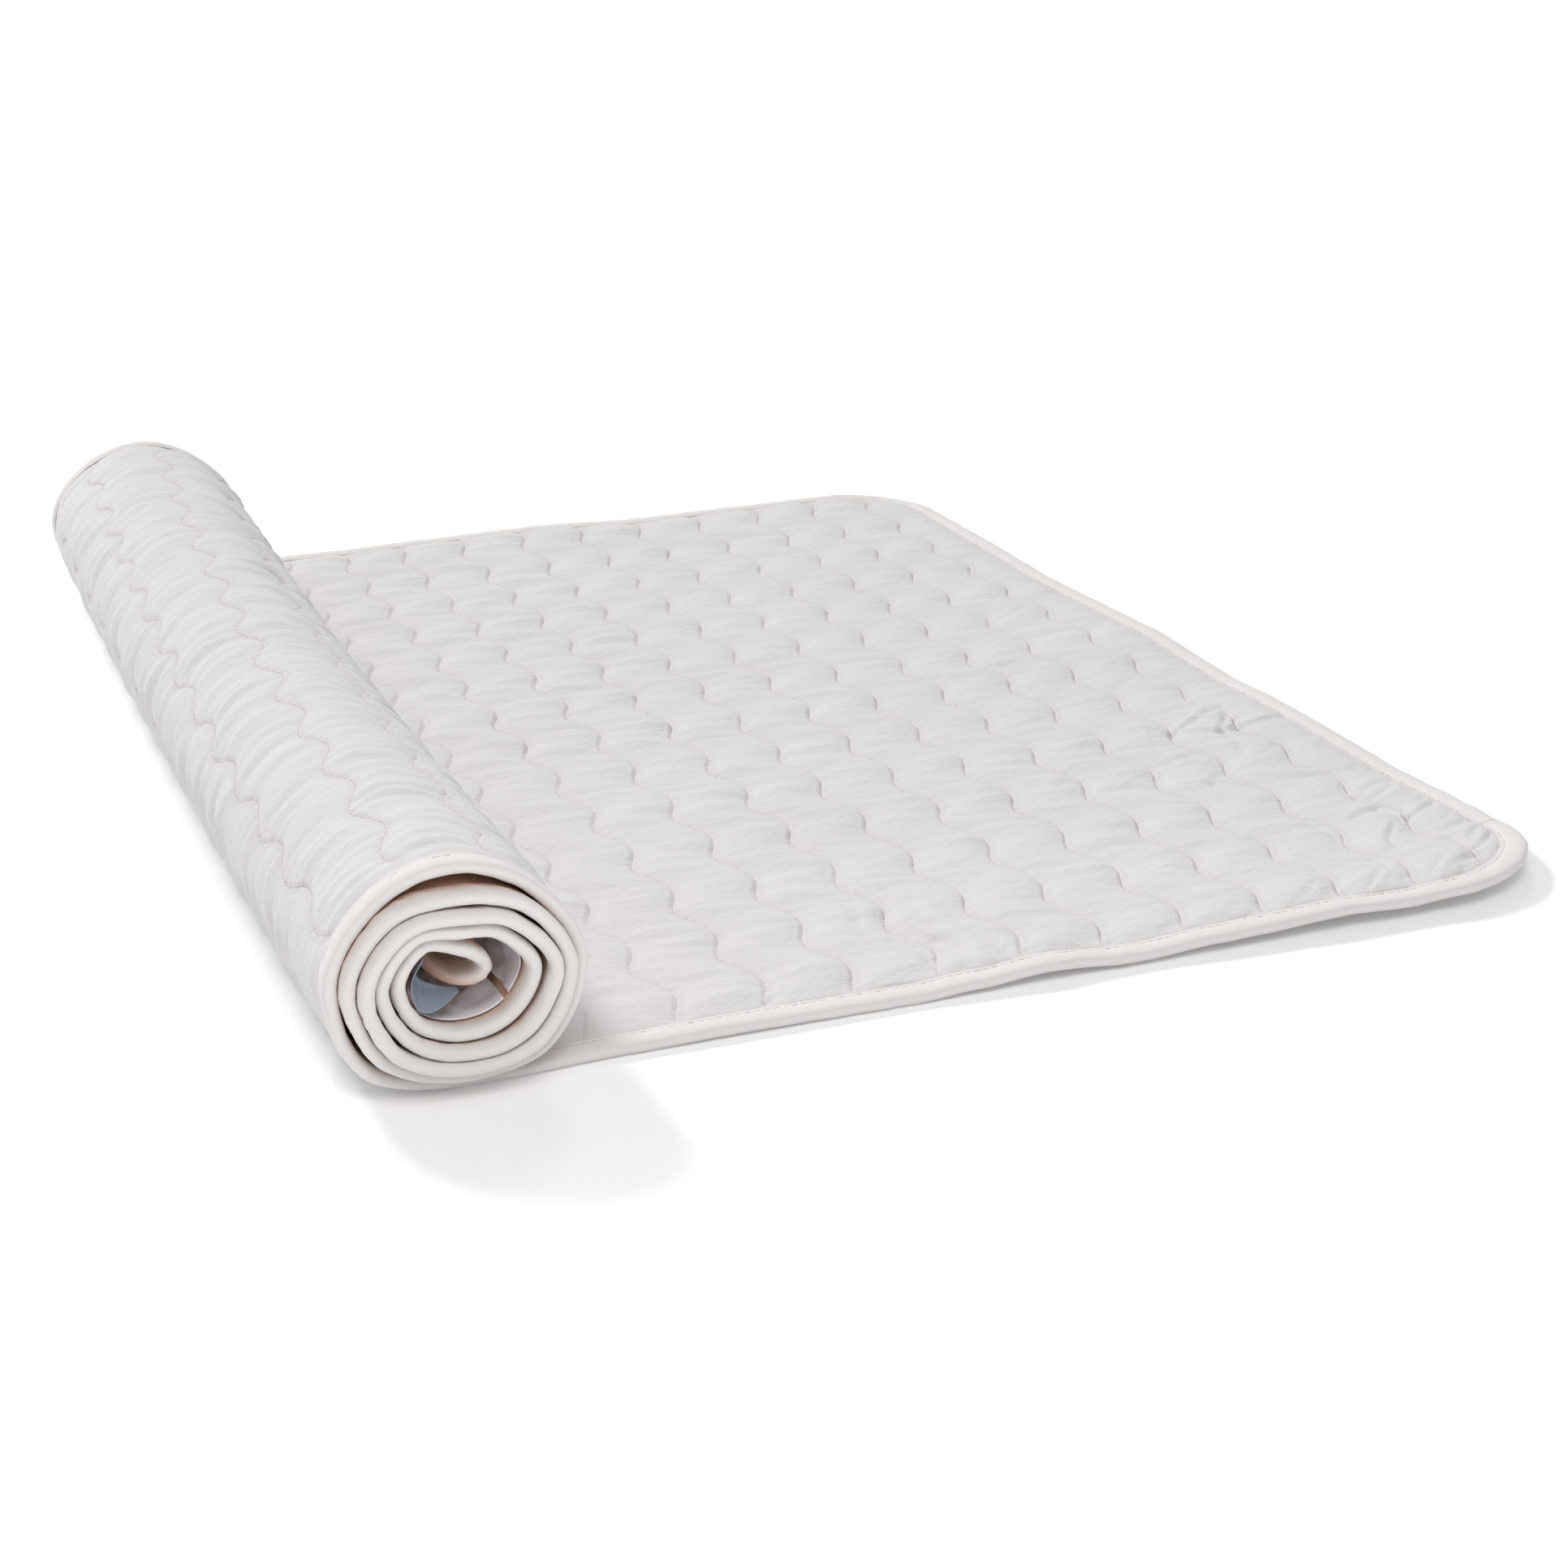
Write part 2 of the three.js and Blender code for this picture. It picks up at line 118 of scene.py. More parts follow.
# The roll, seen from its near end; angles go round from the bottom by the left and the top
ROLL_AXIS = (229, 45)
LEAD_IN = 33  # from point to point of the line where it nears the roll
# Each turn's reach at bottom, low left, left, high left, top, high right, right, low right; its slip
TURNS = [
    ((42.4, 46.7, 43.5, 38.4, 37.4, 37.4, 42.7, 42.1), 3),
    ((37.4, 39.4, 38.4, 33.3, 28.2, 32.0, 37.4, 36.5), 9.5),
    ((32.4, 33.9, 33.2, 28.1, 22.2, 25.6, 32.2, 30.2), 16),
    ((27.4, 27.9, 28.0, 22.9, 16.6, 19.4, 25.2, 23.6), 15),
    ((21.8, 22.4, 21.6, 17.2, 9.4), 11),
]
# The curled inner end: x, z
CURL = [
    (234.4, 51.4), (238.4, 46.2), (236.2, 41.2), (229.4, 39.2), (223.8, 41.5), (220.2, 45.3), (218.6, 49.4),
]
CURL_SLIP = 10
# How the roll changes over its length: at the near end, half way, at the far end
STATIONS = {"shift": (0, -3, 4.7), "width": (1, 1, 1.1), "height": (1, 0.985, 0.965)}

# How far the flat part's edges stand off the floor: place, lift
NEAR_EDGE = [
    (0, 8), (60, 5.6), (80, 4.4), (112, 5.3), (144, 3.8), (165, 3), (196, 1.2), (206, 1.3), (236, 3.4),
    (266, 1.4), (290, 0), (361, 0.5), (400, 0),
]
FAR_EDGE = [
    (0, 0.4), (47, 2.8), (122, 2.4), (171, 1.8), (231, 4), (301, 3.2), (347, 2.2), (400, 2.4), (450, 0),
]
FLAT_END = [
    (45, 0), (62, 0.2), (82, 2.2), (99, 2.8), (138, 1.6), (208, 2.6), (248, 2.6), (281, 1.2), (307, 1.8),
    (362, 3.7), (397, 2.7), (416, 2.2), (456, 0.7), (494, 0.1), (585, 1.3), (649, 1.2), (676, 0.1),
]
LIFT_REACH = 110  # how far in from its edge a lift is felt
ON_FLOOR = 0.02  # the lowest that pressed cloth reaches

# From the flat mat to the rolled one


def smooth(value, start, end):
    """Rises softly from 0 at the start to 1 at the end."""
    t = np.clip((np.asarray(value, float) - start) / (end - start), 0, 1)
    return t * t * (3 - 2 * t)


def eased(rows, place):
    """The second column of a table at a place in its first, eased from row to row."""
    at, value = np.array(rows, float).T
    place = np.asarray(place, float)
    i = np.clip(np.searchsorted(at, place, side="right") - 1, 0, len(at) - 2)
    share = smooth(place, at[i], at[i + 1])
    return value[i] + (value[i + 1] - value[i]) * share


def station(across, column):
    """The curve through the three values of a row of STATIONS."""
    t = across / MAT_WIDTH
    near, middle, far = STATIONS[column]
    return near * (1 - t) * (1 - 2 * t) + middle * 4 * t * (1 - t) + far * t * (2 * t - 1)


def roll_curve(steps=80):
    """The line that the middle of the cloth follows, from just before the roll to the inner end."""
    axis = np.array(ROLL_AXIS, float)
    floor = axis[1] - TURNS[0][0][0]
    points = [(axis[0] + 2 * LEAD_IN, floor), (axis[0] + LEAD_IN, floor)]
    for reaches, _ in TURNS:
        for eighth, reach in enumerate(reaches):
            angle = eighth * math.pi / 4
            points.append(axis - reach * np.array([math.sin(angle), math.cos(angle)]))
    points = np.array(points + CURL, float)
    spans = len(points) - 1
    guide = np.vstack([2 * points[0] - points[1], points, 2 * points[-1] - points[-2]])
    t = np.linspace(0, 1, steps, endpoint=False)[:, None]
    line, slope, count = [], [], []
    for i in range(spans):
        before, start, end, after = guide[i : i + 4]
        leave, arrive = (end - before) / 2, (after - start) / 2
        square = 3 * (end - start) - 2 * leave - arrive
        cube = 2 * (start - end) + leave + arrive
        line.append(start + leave * t + square * t**2 + cube * t**3)
        slope.append(leave + 2 * square * t + 3 * cube * t**2)
        count.append(i - 2 + t[:, 0])
    line = np.vstack(line + [points[-1:]])
    slope = np.vstack(slope + [slope[-1][-1:]])
    slope /= np.linalg.norm(slope, axis=1)[:, None]
    eighths = np.append(np.concatenate(count), spans - 2)
    length = np.append(0, np.cumsum(np.linalg.norm(np.diff(line, axis=0), axis=1)))
    return line, slope, eighths, length


LINE, SLOPE, EIGHTHS, LENGTHS = roll_curve()
FLAT_LENGTH = MAT_LENGTH - LENGTHS[-1]
FLAT_END_X = ROLL_AXIS[0] + 2 * LEAD_IN + FLAT_LENGTH
SLIPS = np.array([slip for _, slip in TURNS] + [CURL_SLIP], float)


def along_at(eighth):
    """Place along the mat, from a place on the roll in eighths of a turn."""
    return FLAT_LENGTH + np.interp(eighth, EIGHTHS, LENGTHS)


ROLL_START, SECOND_TURN = along_at(0), along_at(8)


def on_roll(column, along):
    """A column of the roll's line at a place along the mat."""
    return np.interp(along - FLAT_LENGTH, LENGTHS, column)


def slip_at(along):
    """How far the roll's near edge stands out past the flat part's."""
    turn = on_roll(EIGHTHS, along) / 8
    return np.interp(turn, np.arange(len(SLIPS)), SLIPS) * smooth(turn, -0.25, 0)


def lift_at(along, across):
    """How far the flat part stands off the floor."""

    def felt(inward):
        return 0.5 + 0.5 * np.cos(np.pi * np.clip(inward / LIFT_REACH, 0, 1))

    return (
        eased(NEAR_EDGE, along) * felt(across)
        + eased(FAR_EDGE, along) * felt(MAT_WIDTH - across)
        + eased(FLAT_END, across) * felt(along)
    )


def place(along, across, rise):
    """Where points of the flat mat lie in the finished shape, in metres."""
    along, across, rise = np.broadcast_arrays(
        np.asarray(along, float), np.asarray(across, float), np.asarray(rise, float)
    )
    rolled = along > FLAT_LENGTH
    middle_x = np.where(rolled, on_roll(LINE[:, 0], along), FLAT_END_X - along)
    middle_z = np.where(rolled, on_roll(LINE[:, 1], along), FLOOR_LAYER_MIDDLE)
    middle_z = np.maximum(middle_z, FLOOR_LAYER_MIDDLE)
    slope_x = np.where(rolled, on_roll(SLOPE[:, 0], along), -1)
    slope_z = np.where(rolled, on_roll(SLOPE[:, 1], along), 0)
    x = middle_x + rise * slope_z
    z = middle_z - rise * slope_x
    hold = smooth(along, FLAT_LENGTH - 100, FLAT_LENGTH + 2 * LEAD_IN)
    spread = (station(across, "width") - 1) * (x - ROLL_AXIS[0])
    squash = (station(across, "height") - 1) * np.maximum(z - 2 * FLOOR_LAYER_MIDDLE, 0)
    x = x + hold * (station(across, "shift") + spread) - ORIGIN[0]
    y = across - slip_at(along) - ORIGIN[1]
    z = np.maximum(z + hold * squash + lift_at(along, across), ON_FLOOR)
    return np.stack([x, y, z], -1) * MM


def wave(along, across):
    """How far a seam strays down the mat as it crosses it."""
    step = smooth(along, ROLL_START, ROLL_START + 60) * eased(WAVE_SHIFT, across)
    waves = WAVE_DEPTH * np.cos(2 * np.pi * (across + step - WAVE_START) / WAVE_LENGTH)
    begins = smooth(along, 2 * FIRST_SEAM, 5 * SEAM_PITCH)
    ends = smooth(along, FAN_END, MAT_LENGTH - 150)
    fan = SEAM_FAN * along * begins * (1 - ends) * np.maximum(across / MAT_WIDTH, 0) ** 1.5
    return waves * smooth(along, BINDING_WIDTH, FIRST_SEAM) + fan


# Soft unevenness


def uneven(u, v, seed):
    """Smooth random values from -1 to 1, one new one for each whole step of u and v."""
    size = 64
    table = np.random.RandomState(seed).uniform(-1, 1, (size, size))
    u, v = np.broadcast_arrays(np.asarray(u, float), np.asarray(v, float))
    iu, iv = np.floor(u).astype(int), np.floor(v).astype(int)
    fu, fv = u - iu, v - iv
    fu, fv = fu * fu * (3 - 2 * fu), fv * fv * (3 - 2 * fv)
    a, b = table[iu % size, iv % size], table[(iu + 1) % size, iv % size]
    c, d = table[iu % size, (iv + 1) % size], table[(iu + 1) % size, (iv + 1) % size]
    return (a * (1 - fu) + b * fu) * (1 - fv) + (c * (1 - fu) + d * fu) * fv


def channel_of(along):
    """Which channel a row lies in, from -1 at the flat end, and its share of the way through."""
    number = np.floor((along - FIRST_SEAM) / SEAM_PITCH)
    share = (along - FIRST_SEAM) / SEAM_PITCH - number
    first = number < 0
    start = BINDING_WIDTH - TAPE_OVERLAP
    share = np.where(first, np.clip((along - start) / (FIRST_SEAM - start), 0, 1), share)
    return np.where(first, -1, number).astype(int), np.where(first, 0.5 + 0.5 * share, share)


def puff(share, fullness=0.55):
    """Height of the filling between two seams, steeper on the flat end's side."""
    return np.sin(np.pi * np.clip(share, 0, 1) ** 0.78) ** fullness


def inside_edge(along, across):
    """Distance in from the mat's rounded outline."""
    along, across = np.broadcast_arrays(np.asarray(along, float), np.asarray(across, float))
    lifted = (across < MAT_WIDTH / 2) & (along < MAT_LENGTH / 2)
    radius = np.where(lifted, LIFTED_CORNER_RADIUS, CORNER_RADIUS)
    down, inward = np.minimum(along, MAT_LENGTH - along), np.minimum(across, MAT_WIDTH - across)
    rounded = radius - np.hypot(radius - down, radius - inward)
    return np.where((down < radius) & (inward < radius), rounded, np.minimum(down, inward))


def edge_hold(along, across):
    """How free the filling is of the binding: 0 under the tape, 1 well inside."""
    inward = inside_edge(along, across) - BINDING_WIDTH + TAPE_OVERLAP
    return np.clip(inward / EDGE_REACH, 0, 1) ** 0.5


def puckers(along, across, seed, spacing, height, sweep):
    """Soft folds that run from seam to seam, channel by channel."""
    number, share = channel_of(along)
    total = np.zeros(np.broadcast(along, across).shape)
    number, share, across_all = np.broadcast_arrays(number, share, across)
    for channel in np.unique(number):
        rng = np.random.RandomState(seed + int(channel) + 2)
        here = number == channel
        t, c = share[here], across_all[here]
        at = rng.uniform(0, spacing)
        sums = np.zeros(t.shape)
        while at < MAT_WIDTH:
            width = rng.uniform(0.2, 0.34) * spacing
            tall = height * rng.uniform(0.25, 1) * rng.choice([-1, 1, 1])
            lean = sweep * rng.uniform(0.5, 1.3)
            bow = rng.uniform(-0.3, 0.5) * spacing
            centre = rng.uniform(0.1, 0.9)
            reach = rng.uniform(0.35, 0.8)
            line = at + lean * (t - 0.5) + bow * np.sin(np.pi * t)
            u = (c - line) / width
            fade = np.exp(-(((t - centre) / reach) ** 2))
            sums += tall * fade * (np.exp(-u * u) - 0.5 * np.exp(-((u - 1.3) ** 2)))
            at += spacing * rng.uniform(0.6, 1.4)
        total[here] = sums * puff(t, 0.4)
    return total


# Creases pressed into the flat part: across, along of the start and of the end, half width, depth
CREASES = [
    (219, 8, 210, 45, 1.9, 1.3), (210, 45, 245, 32, 1.7, 1.1), (245, 32, 219, 69, 1.7, 1.0),
    (210, 45, 219, 69, 1.6, 0.9), (145, 10, 145, 23, 1.4, 0.8), (90, 14, 79, 35, 1.6, 1.2),
    (92.6, 10, 92.6, 14, 1.6, 1.1), (95.6, 36, 88, 57, 1.5, 0.9), (79, 39, 91, 44, 1.7, 0.9),
    (73.5, 44, 48.5, 57, 1.6, 0.9), (126, 13, 119, 28, 1.5, 0.9), (106, 33, 113, 21, 1.4, 0.8),
    (145.6, 32, 145.6, 35, 2.4, 0.7), (142.6, 44, 142.6, 46, 2.2, 0.6), (110, 37, 110, 39, 2.2, 0.6),
    (181, 41, 181, 43, 2.4, 0.7), (200, 48, 182, 57, 1.7, 0.8), (164.7, 72, 150, 85, 1.7, 0.8),
    (191, 70, 184, 95, 1.6, 0.8), (190, 88, 203, 84, 1.4, 0.6), (223.5, 75, 231, 85, 1.5, 0.7),
    (219, 72, 219, 74, 2.4, 0.7), (123.5, 73.5, 123.5, 76, 2.4, 0.7), (70, 71, 88, 78, 1.9, 0.9),
    (30, 77, 40, 77, 1.9, 0.8), (134, 108, 135, 114, 1.6, 0.7), (220, 111, 220, 113, 2.2, 0.6),
    (162, 120, 162, 123, 4.5, 0.7), (120.6, 143, 120.6, 146, 2.4, 0.6), (181, 142, 176, 150, 1.6, 0.7),
    (84, 142, 84, 144, 2.4, 0.6), (20, 144, 22, 146, 2.4, 0.7), (182, 175, 182, 177, 2.2, 0.6),
    (79, 176, 79, 178, 2.2, 0.6), (217.6, 177, 217.6, 179, 2.2, 0.6), (266, 174, 268, 182, 1.4, 0.6),
    (12, 243, 36, 253, 2.2, 0.9), (36, 253, 64, 259, 2.0, 0.7), (12, 257, 40, 269, 2.4, 1.0),
    (40, 269, 76, 273, 2.2, 0.8), (12, 272, 46, 283, 2.4, 0.9), (46, 283, 90, 285, 2.2, 0.7),
    (44, 17, 34, 30, 1.8, 1.2), (56, 13, 50, 24, 1.6, 0.9), (66, 12, 60, 27, 1.5, 0.8),
    (28, 30, 22, 46, 1.8, 0.9), (36, 38, 52, 33, 1.6, 0.8), (16, 62, 26, 54, 1.6, 0.9),
    (14, 90, 27, 82, 1.6, 0.8), (13, 120, 24, 112, 1.6, 0.8), (390, 14, 384, 31, 1.8, 0.7),
    (318, 13, 322, 28, 1.7, 0.6), (452, 15, 446, 30, 1.8, 0.6), (300, 44, 292, 62, 1.8, 0.6),
    (352, 76, 344, 96, 1.9, 0.6), (430, 46, 420, 63, 1.9, 0.6), (262, 110, 254, 130, 1.9, 0.6),
]
CREASE_MARGIN = 12  # past a crease's length, where it has faded out


def creases(along, across):
    """Soft troughs with a low fold along one side of each."""
    along, across = np.broadcast_arrays(along, across)
    total = np.zeros(along.shape)
    for across_a, along_a, across_b, along_b, width, depth in CREASES:
        run = np.array([across_b - across_a, along_b - along_a], float)
        length = math.hypot(*run)
        run /= length
        reach = length + CREASE_MARGIN
        near = (np.abs(across - across_a) < reach) & (np.abs(along - along_a) < reach)
        du, dv = across[near] - across_a, along[near] - along_a
        down, off = du * run[0] + dv * run[1], du * run[1] - dv * run[0]
        past = np.maximum(np.maximum(-down, down - length), 0)
        wide = width * (0.7 + 0.5 * np.clip(down / length, 0, 1))
        fade = np.exp(-((past / (1.3 * width)) ** 2))
        trough = np.exp(-((off / wide) ** 2))
        fold = np.exp(-(((off - 2.1 * wide) / (1.3 * wide)) ** 2))
        total[near] += depth * fade * (0.45 * fold - trough)
    return total


def gathers(along, across, seed, height):
    """Small slanted tucks where the cloth is drawn in under the tape."""
    inward = inside_edge(along, across) - BINDING_WIDTH
    run = np.where(np.minimum(across, MAT_WIDTH - across) < along, along, across)
    tucks = uneven((run + 0.8 * inward) / 3.4, inward / 11, seed)
    return height * np.exp(-(((inward - 4) / 5) ** 2)) * tucks


# The quilted panel

PANEL_EDGE = 8  # the panel's cut edge, inside the folded tape
PANEL_END = MAT_LENGTH - PANEL_EDGE
# Soft folds in the channels: seed, spacing, height, sweep
TOP_PUCKERS = [(40, 13, 1.0, 6), (140, 21, 0.7, 9)]
SKIN_PUCKERS = [(80, 10, 1.3, 2), (180, 19, 1.1, 4)]


def top_rise(along, across):
    """Height of the upper face where the mat lies flat."""
    number, share = channel_of(along)
    skew = 1 + 0.15 * np.cos(2 * np.pi * (across - 35) / WAVE_LENGTH) * np.cos(np.pi * share)
    crown = PUFF * (1 + 0.1 * uneven(across / 60, number * 7.3, 5))
    held = edge_hold(along, across)
    rise = AT_SEAM + crown * puff(share) * skew
    lively = 0.75 + 0.6 * smooth(along, 200, 300) * smooth(across, 200, 300)
    rise = rise + sum(puckers(along, across, *row) for row in TOP_PUCKERS) * lively
    pressed = 1.3 * creases(along, across) * (0.35 + 0.65 * puff(share, 0.5))
    return AT_EDGE + (rise - AT_EDGE + pressed) * held + gathers(along, across, 21, 0.85) * held


def skin_rise(along, across):
    """Height of the under face, which is the outside of the roll."""
    number, share = channel_of(along)
    crown = (PUFF - 0.9) * (1 + 0.15 * uneven(across / 50, number * 5.1, 9))
    rise = AT_SEAM + crown * puff(share, 0.7)
    rise = rise + sum(puckers(along, across, *row) for row in SKIN_PUCKERS)
    held = edge_hold(along, across)
    return -(AT_EDGE + (rise - AT_EDGE) * held + gathers(along, across, 61, 0.7) * held)


def plain_rise(along, across, crown):
    """Height over plain channels, where the face is hidden."""
    _, share = channel_of(along)
    rise = AT_SEAM + crown * puff(share, 0.8)
    return AT_EDGE + (rise - AT_EDGE) * edge_hold(along, across)


def under_rise(along, across):
    """The under face, pressed flat where it rests on the floor."""
    return -np.minimum(plain_rise(along, across, UNDER_PUFF), FLOOR_LAYER_MIDDLE + lift_at(along, across))


def inner_rise(along, across):
    """Height of either face between the turns."""
    return plain_rise(along, across, INNER_PUFF)


def corner_inset(along, across):
    """How much a row is drawn in at the mat's rounded corners."""
    lifted = (across < MAT_WIDTH / 2) & (along < MAT_LENGTH / 2)
    corner = np.where(lifted, LIFTED_CORNER_RADIUS, CORNER_RADIUS)
    short = corner - np.minimum(along, MAT_LENGTH - along)
    half = np.sqrt(np.maximum((corner - PANEL_EDGE) ** 2 - np.maximum(short, 0) ** 2, 0))
    return np.where(short > 0, corner - half - PANEL_EDGE, 0)


def tucked_in(along, across, out):
    """How far a point lies hidden between two turns, from 0 to 1, which sets its painted warm bounce light.
    out is 1 on the inner side.
    """
    if out > 0:
        in_core = smooth(along, MAT_LENGTH - 70, MAT_LENGTH - 30)
        hidden = smooth(along, ROLL_START + 10, ROLL_START + 60) * (1 - 0.5 * in_core)
    else:
        hidden = smooth(along, SECOND_TURN - 50, SECOND_TURN - 10)
    return hidden * smooth(np.minimum(across, MAT_WIDTH - across), 1, 12)


def made_piece(name, points, faces):
    """A smooth piece from its points in metres."""
    mesh = bpy.data.meshes.new(name)
    mesh.from_pydata(points, [], faces)
    mesh.shade_smooth()
    piece = bpy.data.objects.new(name, mesh)
    bpy.context.scene.collection.objects.link(piece)
    return piece


def note_cloth(piece, flat, tucked):
    """Keeps each point's place on the flat cloth, in metres, and how far it is tucked in, which sets its
    painted warm bounce light.
    """
    mesh = piece.data
    corner = np.zeros(len(mesh.loops), np.int32)
    mesh.loops.foreach_get("vertex_index", corner)
    layer = mesh.uv_layers.new(name="cloth")
    layer.data.foreach_set("uv", flat[corner].astype(np.float32).ravel())
    layer = mesh.attributes.new("tucked", "FLOAT", "POINT")
    layer.data.foreach_set("value", np.asarray(tucked, np.float32))


class ClothMesh:
    """Points, faces and the place on the flat mat of each point."""

    def __init__(self):
        self.points, self.faces, self.flat, self.tucked, self.count = [], [], [], [], 0

    def grid(self, rows, spots, rise, out):
        """A net of points: rows down the mat, spots across it, at a rise. out is 1 facing up, or -1."""
        rows, spots = np.array(rows, float)[:, None], np.array(spots, float)[None, :]
        half = MAT_WIDTH / 2
        strayed = rows + wave(rows, spots)
        room = half - PANEL_EDGE
        across = half + (spots - half) * (room - corner_inset(strayed, spots + 0 * strayed)) / room
        points = place(strayed, across, rise(rows + 0 * spots, across))
        ids = self.count + np.arange(points[..., 0].size).reshape(points.shape[:2])
        self.count += ids.size
        self.points.append(points.reshape(-1, 3))
        flat = np.stack([across, rows + 0 * across], -1) * MM
        self.flat.append(flat.reshape(-1, 2))
        self.tucked.append(tucked_in(rows + 0 * across, across, out).ravel())
        a, b, c, d = ids[:-1, :-1], ids[1:, :-1], ids[1:, 1:], ids[:-1, 1:]
        quads = np.stack([a, d, c, b] if out > 0 else [a, b, c, d], -1).reshape(-1, 4)
        self.faces.extend(quads.tolist())
        return ids

    def join(self, a, at_a, b, at_b, flip):
        """Joins two lines of points, stepping along whichever lags behind."""
        i = j = 0
        while i < len(a) - 1 or j < len(b) - 1:
            step_a = j == len(b) - 1 or (i < len(a) - 1 and at_a[i + 1] <= at_b[j + 1])
            corners = [a[i], b[j], a[i + 1] if step_a else b[j + 1]]
            self.faces.append([int(n) for n in (corners[::-1] if flip else corners)])
            i, j = (i + 1, j) if step_a else (i, j + 1)

    def made(self, name):
        piece = made_piece(name, np.vstack(self.points).tolist(), self.faces)
        note_cloth(piece, np.vstack(self.flat), np.concatenate(self.tucked))
        return piece


# Points across the mat: up to this place, this far from one to the next
FINE_SPACING = [(12, 0.8), (22, 1.4), (110, 1.8), (250, 2.4), (400, 3), (678, 3.8), (688, 2), (691.9, 0.8)]
COARSE_SPACING = [(12, 1.2), (40, 4), (660, 18), (688, 5), (691.9, 1.2)]


def spots_across(spacing):
    spots = [PANEL_EDGE]
    for end, step in spacing:
        count = max(round((end - spots[-1]) / step), 1)
        spots.extend(np.linspace(spots[-1], end, count + 1)[1:].tolist())
    return np.array(spots)


# The rows of points in a channel, from its seam to the next
FULL_STEPS = np.array(
    [0, 0.7, 1.6, 2.8, 4.4, 6.6, 9.2, 12, 14.8, 17.6, 20.4, 23.2, 25.8, 28, 29.8, 31.3, 32.5, 33.4]
)
CREASED_STEPS = np.array(
    [0, 0.7, 1.6, 2.7, 4, 5.5, 7, 8.6, 10.2, 11.8, 13.4, 15, 16.6, 18.2, 19.8, 21.4, 23, 24.6, 26.2, 27.8]
    + [29.3, 30.7, 31.8, 32.7, 33.4]
)
PLAIN_STEPS = np.array([0, 0.8, 2, 4, 7, 11, 15, 19, 23, 27, 30, 32, 33.3])
SKIN_STEPS = np.array([0, 0.8, 1.9, 3.5, 5.8, 9, 12.6, 16.4, 20.2, 23.8, 27.2, 29.8, 31.8, 33.2])
UNDER_STEPS = FULL_STEPS[[0, 5, 8]]
# From the panel's cut edge at the flat end to its first seam
END_ROWS = np.array(
    [PANEL_EDGE, 9.8, 10.5, 11, 11.7, 12.8, 14.6, 17, 19.8, 22.6, 25.4, 28, 30.4, 32.3, 33.7, 34.6]
)
CREASED_CHANNELS = 2  # those next to the flat end
FULL_CHANNELS = 8  # up to this one; those after it lie by the roll and under it
CORE_LENGTH = 230  # the inner end of the cloth, whose faces show in the core
CORE_ROWS = 42
BETWEEN_TURNS = 9  # from row to row


def rows_between(first, last, steps):
    start = FIRST_SEAM + SEAM_PITCH * np.arange(first, last)
    return (start[:, None] + steps[None, :]).ravel()


def hidden_rows(seam):
    """Rows from a seam to the inner end, which lie between the turns and then in the core."""
    start, core = FIRST_SEAM + SEAM_PITCH * seam, PANEL_END - CORE_LENGTH
    between = np.linspace(start, core, int((core - start) / BETWEEN_TURNS))
    return np.concatenate([between, np.linspace(core, PANEL_END, CORE_ROWS)[1:]])


def quilted_panel():
    cloth = ClothMesh()
    fine, coarse = spots_across(FINE_SPACING), spots_across(COARSE_SPACING)
    top_rows = np.concatenate(
        [
            END_ROWS,
            rows_between(0, CREASED_CHANNELS, CREASED_STEPS),
            rows_between(CREASED_CHANNELS, FULL_CHANNELS, FULL_STEPS),
            rows_between(FULL_CHANNELS, TOP_SEAMS, PLAIN_STEPS),
        ]
    )
    under_rows = np.concatenate([END_ROWS[::4], rows_between(0, TOP_SEAMS, UNDER_STEPS)])
    skin_rows = rows_between(TOP_SEAMS, SEAMS, SKIN_STEPS)

    def face(layers, out):
        """One face of the cloth, from nets laid end to end. Gives its four edges."""
        nets = [(cloth.grid(rows, spots, rise, out), rows, spots) for rows, spots, rise in layers]
        for (a, _, at_a), (b, _, at_b) in zip(nets, nets[1:]):
            cloth.join(a[-1], at_a, b[0], at_b, out > 0)
        rows = np.concatenate([net_rows for _, net_rows, _ in nets])
        near = np.concatenate([net[:, 0] for net, _, _ in nets])
        far = np.concatenate([net[:, -1] for net, _, _ in nets])
        first, last = nets[0], nets[-1]
        return [(near, rows), (far, rows), (first[0][0], first[2]), (last[0][-1], last[2])]

    top = face([(top_rows, fine, top_rise), (hidden_rows(TOP_SEAMS), coarse, inner_rise)], 1)
    under = face(
        [
            (under_rows, coarse, under_rise),
            (skin_rows, fine, skin_rise),
            (hidden_rows(SEAMS), coarse, lambda along, across: -inner_rise(along, across)),
        ],
        -1,
    )
    for upper, lower, flip in zip(top, under, [False, True, True, False]):
        cloth.join(*upper, *lower, flip)
    return cloth.made("mat_cloth")


# The binding

# The folded tape: out from its inner edge, height; round the outer face, then the inner one
TAPE_SECTION = [
    (0, -1.8), (0.7, -1.85), (1.6, -1.5), (2.6, -1.95), (4.2, -2.3), (6.8, -2.4), (9.1, -2.2), (10.5, -1.6),
    (11.1, -0.8), (11.2, 0), (11.1, 0.8), (10.5, 1.6), (9.1, 2.2), (6.8, 2.4), (4.2, 2.3), (2.6, 1.95),
    (1.6, 1.5), (0.7, 1.85), (0, 1.8), (0.1, 1.35), (8.4, 1.3), (8.4, -1.3), (0.1, -1.35),
]
TAPE_WALL = 1.4  # what lies further than this from the middle is the tape's outer face


